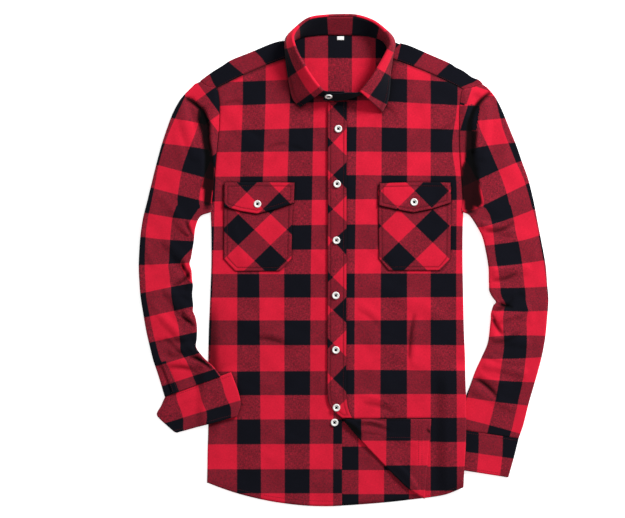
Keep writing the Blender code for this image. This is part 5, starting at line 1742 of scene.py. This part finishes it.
def strand(bm, start, end, up, half_width, height, place):
    """A short raised stitch from one point to another."""
    run = (end - start) / np.linalg.norm(end - start)
    side = np.cross(up, run)
    rings = []
    for share, size in STRAND_SECTIONS:
        middle = start + share * (end - start)
        rings.append([bm.verts.new(place(middle + offset)) for offset in (
            side * half_width * size, up * height * size, -side * half_width * size,
            -up * 0.15 * size)])
    for low, high in zip(rings, rings[1:]):
        for i in range(4):
            bm.faces.new([low[i], low[(i + 1) % 4], high[(i + 1) % 4], high[i]])
    bm.faces.new(rings[0][::-1])
    bm.faces.new(rings[-1])


def stitch_row(bm, line, ups):
    """Stitches along a line of points on the cloth's surface."""
    run = distance_along(line)
    count = int(run[-1] / STITCH["pitch"])
    for i in range(count):
        middle = (i + 0.5) * run[-1] / count
        start, end = (
            np.array([np.interp(place, run, column) for column in line.T])
            for place in (middle - STITCH["length"] / 2, middle + STITCH["length"] / 2))
        up = np.array([np.interp(middle, run, column) for column in ups.T])
        strand(bm, start, end, up / np.linalg.norm(up), STITCH["half_width"], STITCH["height"],
               world)


def sew(name, *lines, wall=WALL):
    """Rows of stitches on top of a flat piece, each along a line of the middle of its cloth."""
    for line in lines:
        raised = line + [0, 0, wall / 2 + STITCH["lift"]]
        STITCHES.setdefault(name, []).append((raised, np.tile([0.0, 0.0, 1.0], (len(line), 1))))


def stitching(name, thread):
    """All the rows of stitches of one piece."""
    bm = bmesh.new()
    for line, ups in STITCHES[name]:
        stitch_row(bm, line, ups)
    return built_piece(bm, name + "_stitches", thread)


# The whole scene

def floor():
    bpy.ops.mesh.primitive_plane_add(size=6, location=(0, 0, -0.0006))
    ground = bpy.context.object
    ground.name = "floor"
    paper = plain("backdrop", (0.96, 0.96, 0.96), 1.0, 0.0, 0.01, 3)
    shader = paper.node_tree.nodes["Principled BSDF"]
    shader.inputs["Emission Color"].default_value = (1, 1, 1, 1)
    shader.inputs["Emission Strength"].default_value = FLOOR_GLOW
    ground.data.materials.append(paper)


def camera():
    """Straight above the middle of the picture, as high as a pixel's size asks for."""
    shot = bpy.data.cameras.new("camera")
    shot.lens, shot.sensor_width = 100, 36
    shot.clip_end = 20
    holder = bpy.data.objects.new("camera", shot)
    bpy.context.scene.collection.objects.link(holder)
    middle = world([*at(*PICTURE_MIDDLE), 0])
    height = PICTURE_WIDTH * PX * MM * shot.lens / shot.sensor_width
    holder.location = (middle[0], middle[1], height)
    bpy.context.scene.camera = holder


def lights():
    backdrop = bpy.data.worlds.new("studio")
    backdrop.use_nodes = True
    background = backdrop.node_tree.nodes["Background"]
    background.inputs["Color"].default_value = (1, 1, 1, 1)
    background.inputs["Strength"].default_value = ROOM_LIGHT
    bpy.context.scene.world = backdrop
    lamp = bpy.data.lights.new("key", "AREA")
    lamp.shape, lamp.size, lamp.energy = "DISK", KEY["size"], KEY["watts"]
    holder = bpy.data.objects.new("key", lamp)
    bpy.context.scene.collection.objects.link(holder)
    holder.location = KEY["spot"]
    aim = -np.array(KEY["spot"])
    holder.rotation_euler = (math.acos(-aim[2] / np.linalg.norm(aim)), 0,
                             math.atan2(aim[1], aim[0]) - math.pi / 2)
    bpy.context.scene.view_settings.view_transform = "Standard"


def declare(piece, thread):
    """The stitches sewn through a piece, made if it has any."""
    name = piece.name.removesuffix("_cloth")
    sewn = [stitching(name, thread)] if name in STITCHES else []


def shirt():
    check = flannel("flannel")
    pearl = plain("pearl", (0.86, 0.85, 0.82), 0.28, 0.5, 0.12, 120)
    dark_thread = plain("thread", (0.006, 0.005, 0.007), 0.9, 0.1, 0.3, 600)
    seam_thread = plain("seam_thread", (0.10, 0.008, 0.014), 0.9, 0.2, 0.3, 600)
    woven = plain("label_weave", (0.82, 0.82, 0.82), 0.9, 0.2, 0.08, 900)
    cloths = [back(check), yoke(check), front("right", check), front("left", check),
              *sleeves(check), cuff("right", RIGHT_CUFF, RIGHT_CUFF_PLAID, arm_lift, check),
              cuff("left", LEFT_CUFF, LEFT_CUFF_PLAID, no_lift, check), collar_stand(check),
              collar_leaf(check), placket(check), *pocket("right", check),
              *pocket("left", check), label(woven)]
    buttons(pearl, dark_thread)
    for piece in cloths:
        declare(piece, seam_thread)


camera()
lights()
floor()
shirt()
